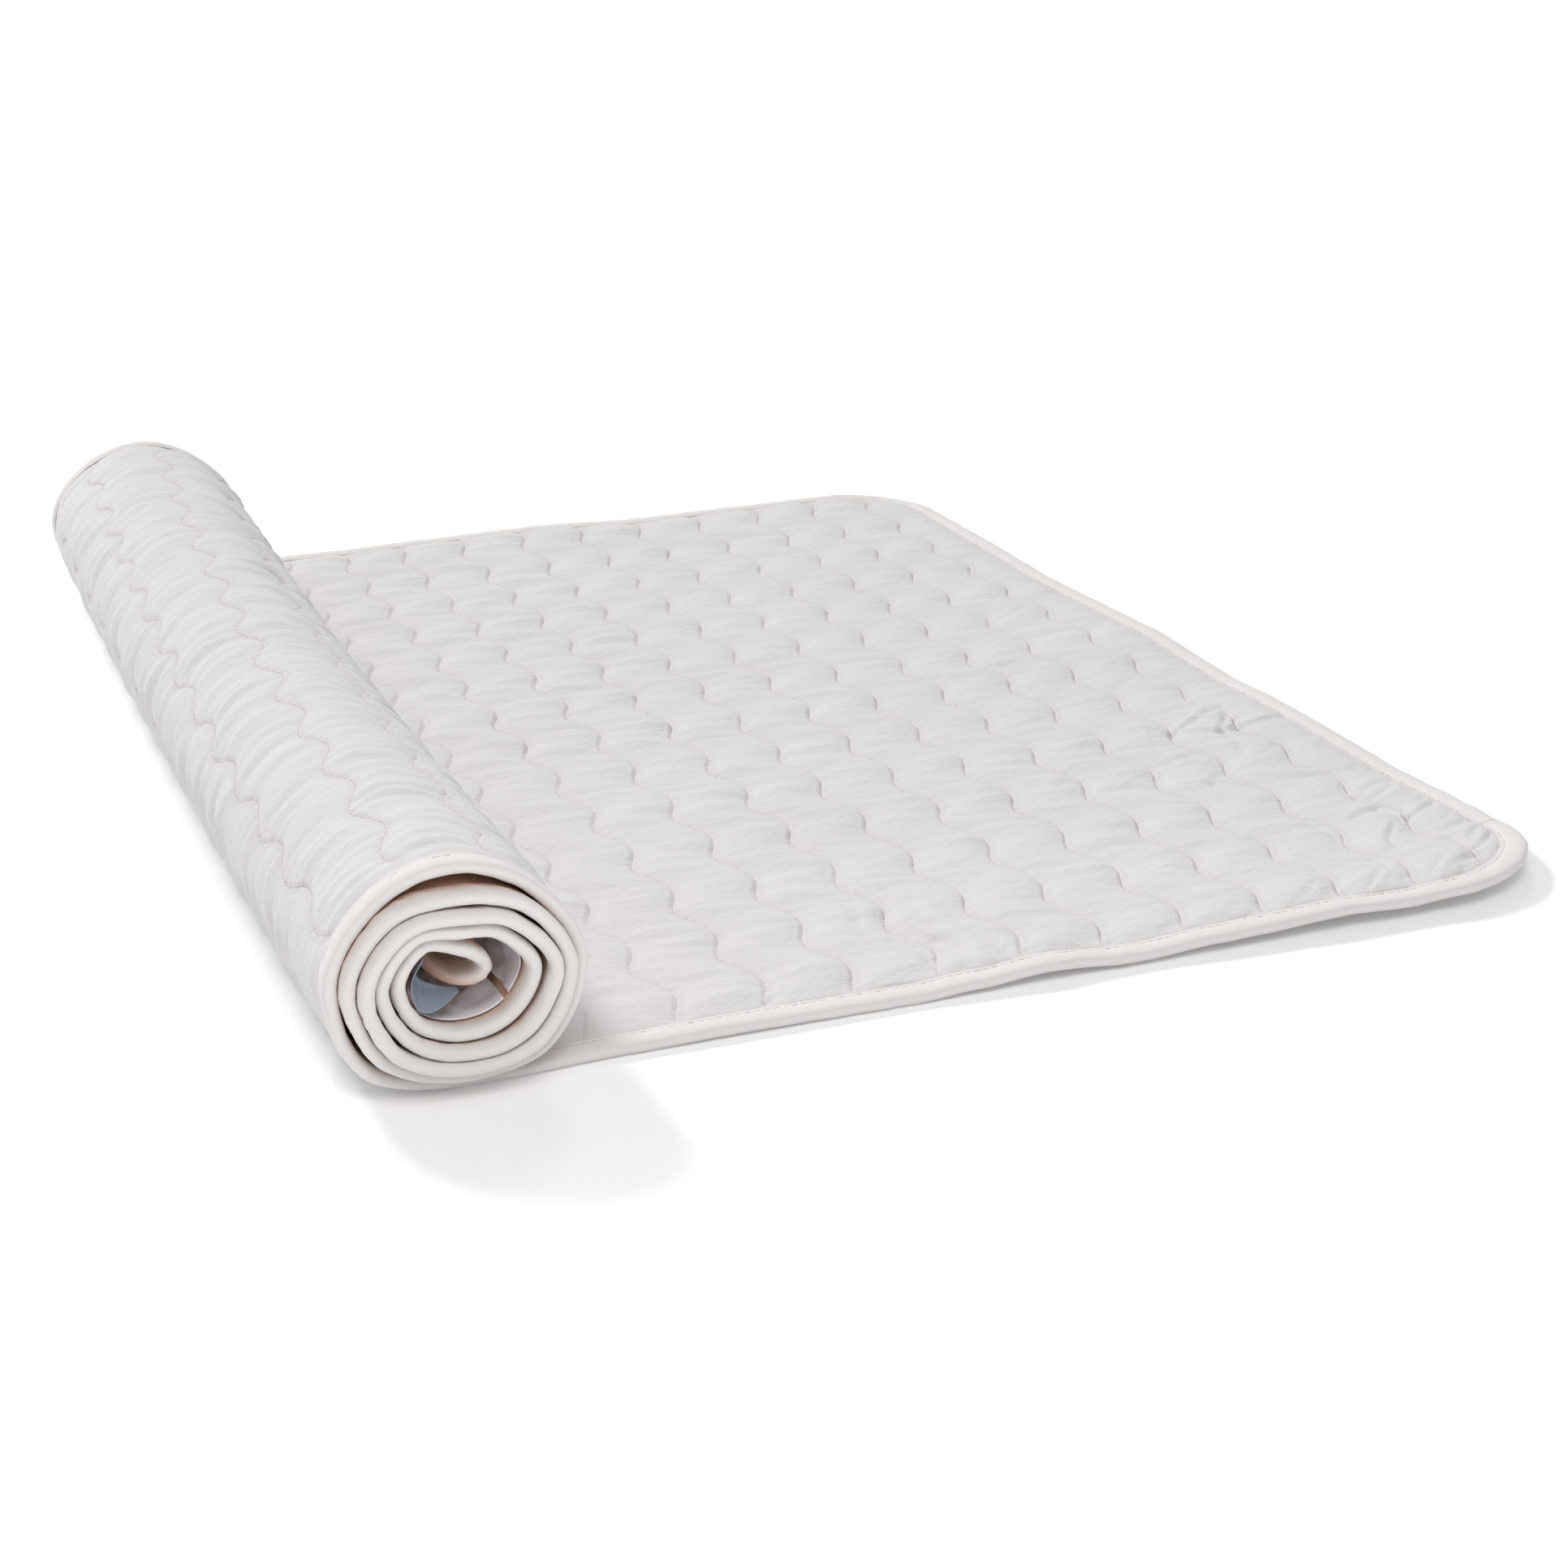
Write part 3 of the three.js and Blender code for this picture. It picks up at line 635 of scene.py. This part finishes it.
def binding_path():
    """The tape's inner line on the flat mat, and the way out from it."""
    low, far = CORNER_RADIUS, MAT_WIDTH - CORNER_RADIUS
    last = MAT_LENGTH - CORNER_RADIUS
    lifted = LIFTED_CORNER_RADIUS
    rows = []

    def corner(along, across, start, steps=34, radius=CORNER_RADIUS):
        inner = radius - BINDING_WIDTH
        for angle in start + np.linspace(0, math.pi / 2, steps):
            out = (math.cos(angle), math.sin(angle))
            rows.append((along + inner * out[0], across + inner * out[1], *out))

    def straight(start, end, step, fixed, out):
        count = int(abs(end - start) / step)
        for at in np.linspace(start, end, count + 1)[1:-1]:
            rows.append((at, fixed, *out) if out[0] == 0 else (fixed, at, *out))

    corner(lifted, lifted, math.pi, 46, lifted)
    straight(lifted, last, 1.5, BINDING_WIDTH, (0, -1))
    corner(last, low, -math.pi / 2, 20)
    straight(low, far, 5, MAT_LENGTH - BINDING_WIDTH, (1, 0))
    corner(last, far, 0, 20)
    straight(last, low, 2.4, MAT_WIDTH - BINDING_WIDTH, (0, 1))
    corner(low, far, math.pi / 2)
    straight(far, lifted, 1.5, BINDING_WIDTH, (-1, 0))
    return np.array(rows)


def distance_round(path):
    """How far round the edge each point of a path lies."""
    step = np.hypot(*np.diff(path[:, :2], axis=0, append=path[:1, :2]).T)
    return np.append(0, np.cumsum(step))[:-1]


def binding():
    path = binding_path()
    section = np.array(TAPE_SECTION)
    along, across, out_along, out_across = (column[:, None] for column in path.T)
    out, rise = section[None, :, 0], section[None, :, 1]
    around = distance_round(path)[:, None]
    outer_face = (out > 0) & (np.abs(rise) > TAPE_WALL)
    gather = uneven(around / 2.6 - out * 0.25, 0.5 + 0 * out, 11) * (1 - smooth(out, 6, 11))
    reach = out + 0.35 * uneven(around / 9, 3.1 + 0 * out, 12) * (out > 8.5)
    height = rise * (1 + 0.05 * uneven(around / 6, out / 3, 13))
    height = height + np.sign(rise) * 0.3 * gather * outer_face
    rolled = smooth(along, ROLL_START - 20, ROLL_START + 20)
    sway = 0.3 * uneven(around / 17, 2.5 + 0 * out, 14) + 0.16 * uneven(around / 6, 7.5 + 0 * out, 15)
    height = height * (1 + 0.09 * rolled) + rolled * sway * smooth(out, 0, 6)
    down, beside = along + reach * out_along, across + reach * out_across
    points = place(down, beside, height)
    rings, sides = points.shape[:2]
    ids = np.arange(rings * sides).reshape(rings, sides)
    a, b = ids, np.roll(ids, -1, 0)
    c, d = np.roll(b, -1, 1), np.roll(ids, -1, 1)
    faces = np.stack([a, d, c, b], -1).reshape(-1, 4)
    piece = made_piece("edge_tape", points.reshape(-1, 3).tolist(), faces.tolist())
    girth = np.append(0, np.cumsum(np.hypot(*np.diff(section, axis=0).T)))[None, :]
    flat = np.stack(np.broadcast_arrays(girth, around), -1).reshape(-1, 2) * MM
    # How far the tape is tucked in between the turns, for its painted warm bounce light.
    hidden = np.where(rise > 0, tucked_in(down, beside, 1), tucked_in(down, beside, -1))
    note_cloth(piece, flat, hidden.ravel())
    return piece


# Labels

LABEL_HALF = 0.12  # half the thickness of the satin
# The blue label leans across the core: x, z in the roll drawing, depth behind its near end
BLUE_OUTER = [
    (216.4, 53.2, 0), (211.8, 46, 0), (211.4, 40, 0), (213.6, 34.4, 0.5), (217, 32.4, 2), (220.4, 32.3, 3),
    (224.4, 34.2, 4), (230.0, 36.2, 8),
]
BLUE_INNER = [
    (217.6, 52.6, 7), (215.9, 49.5, 9), (215.4, 45.5, 11), (216.4, 41.6, 13), (219, 39, 14),
    (222.4, 37.2, 14), (226, 36.2, 13), (230.0, 36, 11),
]
CORE_FRONT = -9.0  # the core's near end, from the flat part's near edge
# Each white label: from this eighth of a turn to this one, depth, flare, crumple, seed
WHITE_LABELS = {"lower": (30.9, 33.1, 46, 4.2, 1.9, 40), "upper": (28.8, 30.75, 46, 2.8, 1.1, 45)}
LABEL_START = 9  # from the near edge
BLUE_LABEL_SIZE = (40, 14)


def satin(name, points, flat):
    """A thin closed cloth from a net of points in metres, and each point's place on the cloth."""
    rows, steps = points.shape[:2]
    normal = np.cross(np.gradient(points, axis=0), np.gradient(points, axis=1))
    normal /= np.linalg.norm(normal, axis=2)[..., None]
    net = [(points + side * LABEL_HALF * MM * normal).reshape(-1, 3) for side in (1, -1)]
    ids = np.arange(rows * steps).reshape(rows, steps)
    a, b, c, d = ids[:-1, :-1], ids[1:, :-1], ids[1:, 1:], ids[:-1, 1:]
    top = np.stack([a, b, c, d], -1).reshape(-1, 4)
    under = np.stack([a, d, c, b], -1).reshape(-1, 4) + rows * steps
    rim = np.concatenate([ids[0, :-1], ids[:-1, -1], ids[-1, :0:-1], ids[:0:-1, 0]])
    after = np.roll(rim, -1)
    sides = np.stack([rim, after, after + rows * steps, rim + rows * steps], -1)
    piece = made_piece(name, np.vstack(net).tolist(), np.vstack([top, under, sides]).tolist())
    note_cloth(piece, np.tile(flat.reshape(-1, 2) * MM, (2, 1)), np.zeros(2 * rows * steps))
    return piece


def blue_label():
    rows, steps = 60, 26
    share = np.linspace(0, 1, rows)[:, None]
    step = np.linspace(0, 1, steps)[None, :]

    def rounded(points):
        """A line of points with its corners blurred."""
        points = np.array(points, float)
        at = np.linspace(0, 1, len(points))
        fine = [np.interp(share[:, 0], at, column) for column in points.T]
        blur = np.array([1, 2, 3, 4, 3, 2, 1]) / 16
        return np.stack([np.convolve(np.pad(f, 3, mode="edge"), blur, "valid") for f in fine], -1)[:, None, :]

    core = rounded(BLUE_OUTER) * (1 - step[..., None]) + rounded(BLUE_INNER) * step[..., None]
    bulge = np.sin(np.pi * step) * np.sin(np.pi * share)
    fold = 1.5 * uneven(share * 6, step * 2.4, 33) + 0.7 * uneven(share * 13, step * 4, 34)
    x = core[..., 0] - ORIGIN[0] - 0.5 * fold * bulge
    y = core[..., 2] + CORE_FRONT - ORIGIN[1] + 2.5 * bulge + fold * bulge
    z = core[..., 1] + 0.5 * fold * bulge
    points = np.stack(np.broadcast_arrays(x, y, z), -1) * MM
    long, deep = BLUE_LABEL_SIZE
    return satin("blue_tab", points[::-1], np.stack(np.broadcast_arrays(share * long, step * deep), -1))


def white_label(name, start, end, depth, flare, crumple, seed):
    """A label sewn flat at its near end, which stands off the cloth further in."""
    share = np.linspace(0, 1, 40)[:, None]
    step = np.linspace(0, 1, 34)[None, :]
    along = along_at(start + (end - start) * share)
    across = LABEL_START + depth * step + 0 * share
    fold = crumple * (uneven(share * 5, step * 5, seed) + 0.6 * uneven(share * 11, step * 9, seed + 1))
    free = np.maximum(fold, -0.6 - flare * step) * smooth(step, 0.02, 0.3)
    seat = IN_ROLL + 0.7 + flare * step**1.5 + free
    flat = np.stack([across, along + 0 * across], -1)
    return satin(name, place(along, across, seat), flat)


# Sewing threads

STITCH = 3.6  # from one stitch to the next
STITCH_LENGTH = 2.7
THREAD_HALF = 0.24
QUILTING_SEAT = 0.12  # over the seam's cloth
EDGE_SEAM_IN = 1.6  # from the tape's inner edge
EDGE_SEAM_RISE = 1.62


def stitches(name, runs):
    """One small lens of thread for each stitch. A run is along, across and rise of its points."""
    points, faces = [], []
    shape = [(1, 0, 0), (-1, 0, 0), (0, 1, 0), (0, -1, 0), (0, 0, 1), (0, 0, -1)]
    sides = [(0, 2, 4), (2, 1, 4), (1, 3, 4), (3, 0, 4), (2, 0, 5), (1, 2, 5), (3, 1, 5), (0, 3, 5)]
    shape = np.array(shape, float)
    for along, across, rise in runs:
        at = place(along, across, rise)
        out = place(along, across, rise + np.where(np.asarray(rise) > 0, 1, -1)) - at
        run = np.gradient(at, axis=0)
        run /= np.linalg.norm(run, axis=1)[:, None]
        out -= (out * run).sum(1)[:, None] * run
        out /= np.linalg.norm(out, axis=1)[:, None]
        side = np.cross(out, run)
        for centre, r, s, o in zip(at, run, side, out):
            size = [STITCH_LENGTH / 2 * MM * r, THREAD_HALF * MM * s, THREAD_HALF * MM * o]
            first = len(points)
            points.extend((centre + shape @ np.array(size)).tolist())
            faces.extend([[first + n for n in face] for face in sides])
    return made_piece(name, points, faces)


def quilting_thread():
    runs = []
    across = np.arange(BINDING_WIDTH + 1.5, MAT_WIDTH - BINDING_WIDTH - 1, STITCH)
    for number in range(SEAMS):
        seam = FIRST_SEAM + SEAM_PITCH * number
        along = seam + wave(seam, across)
        side = 1 if number < TOP_SEAMS else -1
        runs.append((along, across, side * (AT_SEAM + QUILTING_SEAT) + 0 * across))
    return stitches("quilting_thread", runs)


def edge_thread():
    path = binding_path()
    around = distance_round(path)
    at = np.arange(0, around[-1], STITCH)
    along, across, out_along, out_across = (np.interp(at, around, column) for column in path.T)
    along, across = along + EDGE_SEAM_IN * out_along, across + EDGE_SEAM_IN * out_across
    return stitches(
        "edge_thread", [(along, across, side * EDGE_SEAM_RISE + 0 * along) for side in (1, -1)]
    )


# Materials


def linear(red, green, blue):
    """A colour as a screen gives it, 0 to 255, as the shader takes it."""
    values = [v / 255 for v in (red, green, blue)]
    return (*(v / 12.92 if v < 0.04045 else ((v + 0.055) / 1.055) ** 2.4 for v in values), 1)


# Painted bounce light: a warm tint mixed into the cloth's colour between the turns, in place of light thrown
# back and forth there.
PAINTED_BOUNCE_COLOR = linear(226, 182, 154)  # warm light thrown back and forth between the turns
PAINTED_BOUNCE_SHARE = 0.85


def nodes_of(material):
    material.use_nodes = True
    tree = material.node_tree
    return tree, tree.nodes["Principled BSDF"]


def feed(tree, value, socket):
    """Links a socket's value to another, or sets a plain value."""
    if isinstance(value, bpy.types.NodeSocket):
        tree.links.new(value, socket)
    else:
        socket.default_value = value


def math_node(tree, operation, *inputs, clamp=False):
    node = tree.nodes.new("ShaderNodeMath")
    node.operation = operation
    node.use_clamp = clamp
    for socket, value in zip(node.inputs, inputs):
        feed(tree, value, socket)
    return node.outputs[0]


def mix_node(tree, share, start, end):
    node = tree.nodes.new("ShaderNodeMix")
    node.data_type = "RGBA"
    for name, value in {"Factor": share, "A": start, "B": end}.items():
        feed(tree, value, node.inputs[name])
    return node.outputs["Result"]


def noise_node(tree, vector, scale, detail=2.0, roughness=0.5, stretch=None):
    if stretch:
        mapping = tree.nodes.new("ShaderNodeMapping")
        mapping.inputs["Scale"].default_value = stretch
        feed(tree, vector, mapping.inputs["Vector"])
        vector = mapping.outputs["Vector"]
    node = tree.nodes.new("ShaderNodeTexNoise")
    values = {"Vector": vector, "Scale": scale, "Detail": detail, "Roughness": roughness}
    for name, value in values.items():
        feed(tree, value, node.inputs[name])
    return node.outputs["Fac"]


def part_of(tree, vector, axis):
    """A vector's X, Y or Z."""
    split = tree.nodes.new("ShaderNodeSeparateXYZ")
    feed(tree, vector, split.inputs[0])
    return split.outputs[axis]


def new_group(name, inputs, outputs):
    """A node group with named sockets: its tree, what it is given and what it puts out."""
    tree = bpy.data.node_groups.new(name, "ShaderNodeTree")
    for way, sockets in {"INPUT": inputs, "OUTPUT": outputs}.items():
        for socket, kind in sockets.items():
            tree.interface.new_socket(socket, in_out=way, socket_type="NodeSocket" + kind)
    return tree, tree.nodes.new("NodeGroupInput").outputs, tree.nodes.new("NodeGroupOutput").inputs


def group_node(tree, group, **values):
    """A group placed in a material. An input's name is its socket's, with _ for each space."""
    node = tree.nodes.new("ShaderNodeGroup")
    node.node_tree = group
    for name, value in values.items():
        feed(tree, value, node.inputs[name.replace("_", " ")])
    return node.outputs


def weave_group():
    """Crossing threads on cloth coordinates in metres: a height, and a shade from it."""
    tree, given, result = new_group(
        "plain_weave",
        {"Cloth": "Vector", "Threads per metre": "Float", "Slub": "Float"},
        {"Height": "Float", "Shade": "Float"},
    )
    turns = math_node(tree, "MULTIPLY", given["Threads per metre"], 2 * math.pi)
    threads = [
        math_node(tree, "SINE", math_node(tree, "MULTIPLY", part_of(tree, given["Cloth"], axis), turns))
        for axis in ("X", "Y")
    ]
    crossing = math_node(tree, "MULTIPLY", *threads)
    slub = math_node(tree, "SUBTRACT", noise_node(tree, given["Cloth"], 900, 1), 0.5)
    slub = math_node(tree, "MULTIPLY", slub, given["Slub"])
    height = math_node(tree, "MULTIPLY_ADD", crossing, 0.5, slub)
    feed(tree, height, result["Height"])
    feed(tree, math_node(tree, "MULTIPLY_ADD", height, 0.5, 0.5, clamp=True), result["Shade"])
    return tree


def wrinkle_group():
    """Small soft wrinkles, longer down the cloth than over it: a height."""
    tree, given, result = new_group(
        "small_wrinkles", {"Cloth": "Vector", "Depth": "Float"}, {"Height": "Float"}
    )
    small = noise_node(tree, given["Cloth"], 260, 3, 0.55, (1, 0.55, 1))
    feed(tree, math_node(tree, "MULTIPLY", small, given["Depth"]), result["Height"])
    return tree


def shade_group():
    """A cloth's colour: soft patches, its threads, painted shade along its seams, and painted warm bounce
    light where it is tucked in between the turns.
    """
    tree, given, result = new_group(
        "cloth_shade",
        {"Cloth": "Vector", "Color": "Color", "Dark": "Color"}
        | {"Thread shade": "Float", "Seam shade": "Float", "Tucked": "Float"},
        {"Color": "Color", "Patches": "Float"},
    )
    patches = noise_node(tree, given["Cloth"], 14, 3)
    light = math_node(tree, "MULTIPLY_ADD", patches, 0.6, 0.35)
    light = math_node(tree, "MULTIPLY_ADD", given["Thread shade"], 0.25, light, clamp=True)
    # Painted shade along the seams darkens the colour there.
    light = math_node(tree, "ADD", light, given["Seam shade"], clamp=True)
    color = mix_node(tree, light, given["Dark"], given["Color"])
    # Painted warm bounce light, mixed in by how far the cloth is tucked in between the turns.
    painted_bounce = math_node(tree, "MULTIPLY", given["Tucked"], PAINTED_BOUNCE_SHARE)
    feed(tree, mix_node(tree, painted_bounce, color, PAINTED_BOUNCE_COLOR), result["Color"])
    feed(tree, patches, result["Patches"])
    return tree


WEAVE, WRINKLES, SHADE = weave_group(), wrinkle_group(), shade_group()


def near_seam(tree, cloth):
    """1 along the quilting's seams, 0 in the channels between them, for the small folds and the painted shade
    there.
    """
    along = math_node(tree, "SUBTRACT", part_of(tree, cloth, "Y"), FIRST_SEAM * MM)
    turn = math_node(tree, "MULTIPLY", along, 1 / (SEAM_PITCH * MM))
    off = math_node(tree, "ABSOLUTE", math_node(tree, "SUBTRACT", math_node(tree, "FRACT", turn), 0.5))
    return math_node(tree, "MULTIPLY_ADD", off, 10.0, -4.0, clamp=True)


def cloth_material(name, color, dark, threads, slub, roughness, bump, wrinkle=0, drawn_in=0, sheen=0):
    """Woven cloth. drawn_in is how strongly seams pull small folds into it, or 0 without seams. Where there
    are seams, painted shade darkens the colour along them.
    """
    material = bpy.data.materials.new(name)
    tree, shader = nodes_of(material)
    uv = tree.nodes.new("ShaderNodeUVMap")
    uv.uv_map = "cloth"
    cloth = uv.outputs["UV"]
    weave = group_node(tree, WEAVE, Cloth=cloth, Threads_per_metre=threads, Slub=slub)
    height = group_node(tree, WRINKLES, Cloth=cloth, Depth=wrinkle)["Height"]
    painted_seam_shade = 0
    if drawn_in:
        near = near_seam(tree, cloth)
        folds = math_node(tree, "MULTIPLY", near, noise_node(tree, cloth, 300, 2, 0.5, (1, 0.18, 1)))
        height = math_node(tree, "MULTIPLY_ADD", folds, drawn_in, height)
        # Painted shade along the seams: the colour is darkened where the grooves fall in shade.
        painted_seam_shade = math_node(tree, "MULTIPLY", near, -0.35)
    # How far the cloth is tucked in between the turns, which sets its painted warm bounce light.
    tucked = tree.nodes.new("ShaderNodeAttribute")
    tucked.attribute_name = "tucked"
    shade = group_node(
        tree,
        SHADE,
        Cloth=cloth,
        Color=color,
        Dark=dark,
        Thread_shade=weave["Shade"],
        Seam_shade=painted_seam_shade,
        Tucked=tucked.outputs["Fac"],
    )
    relief = tree.nodes.new("ShaderNodeBump")
    relief.inputs["Distance"].default_value = MM
    relief.inputs["Strength"].default_value = 1
    height = math_node(tree, "MULTIPLY_ADD", weave["Height"], bump, height)
    feed(tree, height, relief.inputs["Height"])
    finish = {
        "Base Color": shade["Color"],
        "Roughness": math_node(tree, "MULTIPLY_ADD", shade["Patches"], 0.12, roughness - 0.06),
        "Normal": relief.outputs["Normal"],
        "Sheen Weight": sheen,
        "Specular IOR Level": 0.3,
    }
    for socket, value in finish.items():
        feed(tree, value, shader.inputs[socket])
    return material


COTTON = cloth_material(
    "quilted_cotton",
    linear(219, 217, 216),
    linear(206, 203, 201),
    threads=1500,
    slub=0.6,
    roughness=0.92,
    bump=0.03,
    wrinkle=0.75,
    drawn_in=1.0,
    sheen=0.1,
)
TAPE = cloth_material(
    "cotton_tape",
    linear(228, 225, 223),
    linear(217, 213, 210),
    threads=1300,
    slub=0.5,
    roughness=0.88,
    bump=0.05,
    wrinkle=0.2,
    sheen=0.1,
)
BLUE_SATIN = cloth_material(
    "blue_satin",
    linear(150, 163, 178),
    linear(126, 140, 158),
    threads=5000,
    slub=0.2,
    roughness=0.24,
    bump=0.01,
    wrinkle=0.1,
)
WHITE_SATIN = cloth_material(
    "white_satin",
    linear(246, 244, 248),
    linear(232, 229, 236),
    threads=5000,
    slub=0.2,
    roughness=0.22,
    bump=0.01,
    wrinkle=0.14,
)
THREAD = cloth_material(
    "sewing_thread",
    linear(228, 224, 220),
    linear(208, 202, 197),
    threads=4000,
    slub=0.3,
    roughness=0.7,
    bump=0.02,
)


# The finished pieces


def finish_piece(piece, material, nodes=()):
    piece.data.materials.append(material)
    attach(piece, "root")
    if nodes:
        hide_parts(*nodes)


panel = quilted_panel()
tape = binding()
blue_tab = blue_label()
white_tabs = {name: white_label(f"white_tab_{name}", *row) for name, row in WHITE_LABELS.items()}
quilting = quilting_thread()
edging = edge_thread()

finish_piece(panel, COTTON, ["quilted_panel"])
finish_piece(tape, TAPE, ["binding"])
finish_piece(blue_tab, BLUE_SATIN, ["label_blue"])
for name, tab in white_tabs.items():
    finish_piece(tab, WHITE_SATIN, [f"label_white_{name}"])
finish_piece(quilting, THREAD)
finish_piece(edging, THREAD)


# Floor and light

FLOOR_SIZE = 16
# The floor far from the mat glows, so that it is as white as what lies behind it: metres, strength
GLOW = {"From Min": 0.4, "From Max": 0.85, "To Min": 0.08, "To Max": 0.55}
ROOM_LIGHT = 0.46
# Each lamp: at, aimed at, metres square, watts
LAMPS = {
    "left_softbox": ((-1.4, 3.9, 3.3), (0, 0, 0), 1.1, 172),
    "right_softbox": ((1.5, 3.2, 3.3), (0, 0, 0), 1.0, 20),
    "front_softbox": ((-0.2, -1.0, 0.95), (-0.15, -0.3, 0), 0.5, 4.5),
}


def floor_material():
    material = bpy.data.materials.new("pale_floor")
    tree, shader = nodes_of(material)
    spot = tree.nodes.new("ShaderNodeTexCoord")
    away = tree.nodes.new("ShaderNodeVectorMath")
    away.operation = "LENGTH"
    feed(tree, spot.outputs["Object"], away.inputs[0])
    glow = tree.nodes.new("ShaderNodeMapRange")
    glow.interpolation_type = "SMOOTHSTEP"
    for name, value in {"Value": away.outputs["Value"], **GLOW}.items():
        feed(tree, value, glow.inputs[name])
    finish = {
        "Base Color": linear(255, 255, 255),
        "Emission Color": (1, 1, 1, 1),
        "Emission Strength": glow.outputs["Result"],
        "Roughness": 0.9,
        "Specular IOR Level": 0.1,
    }
    for socket, value in finish.items():
        feed(tree, value, shader.inputs[socket])
    return material


def add_floor():
    bpy.ops.mesh.primitive_plane_add(size=FLOOR_SIZE, location=(0, 2, 0))
    floor = bpy.context.active_object
    floor.name = "floor"
    bpy.ops.object.transform_apply(location=True)
    floor.data.materials.append(floor_material())


def add_lamp(name, at, aim, size, power):
    data = bpy.data.lights.new(name, "AREA")
    data.shape = "RECTANGLE"
    data.size = data.size_y = size
    data.energy = power
    lamp = bpy.data.objects.new(name, data)
    bpy.context.scene.collection.objects.link(lamp)
    way = Vector(aim) - Vector(at)
    lamp.rotation_euler = way.to_track_quat("-Z", "Y").to_euler()
    lamp.location = at


def add_world():
    world = bpy.data.worlds.new("white_room")
    world.use_nodes = True
    back = world.node_tree.nodes["Background"]
    back.inputs["Color"].default_value = (1, 1, 1, 1)
    back.inputs["Strength"].default_value = ROOM_LIGHT
    bpy.context.scene.world = world
    bpy.context.scene.view_settings.view_transform = "Standard"


add_floor()
add_world()
for name, row in LAMPS.items():
    add_lamp(name, *row)

bpy.context.view_layer.update()
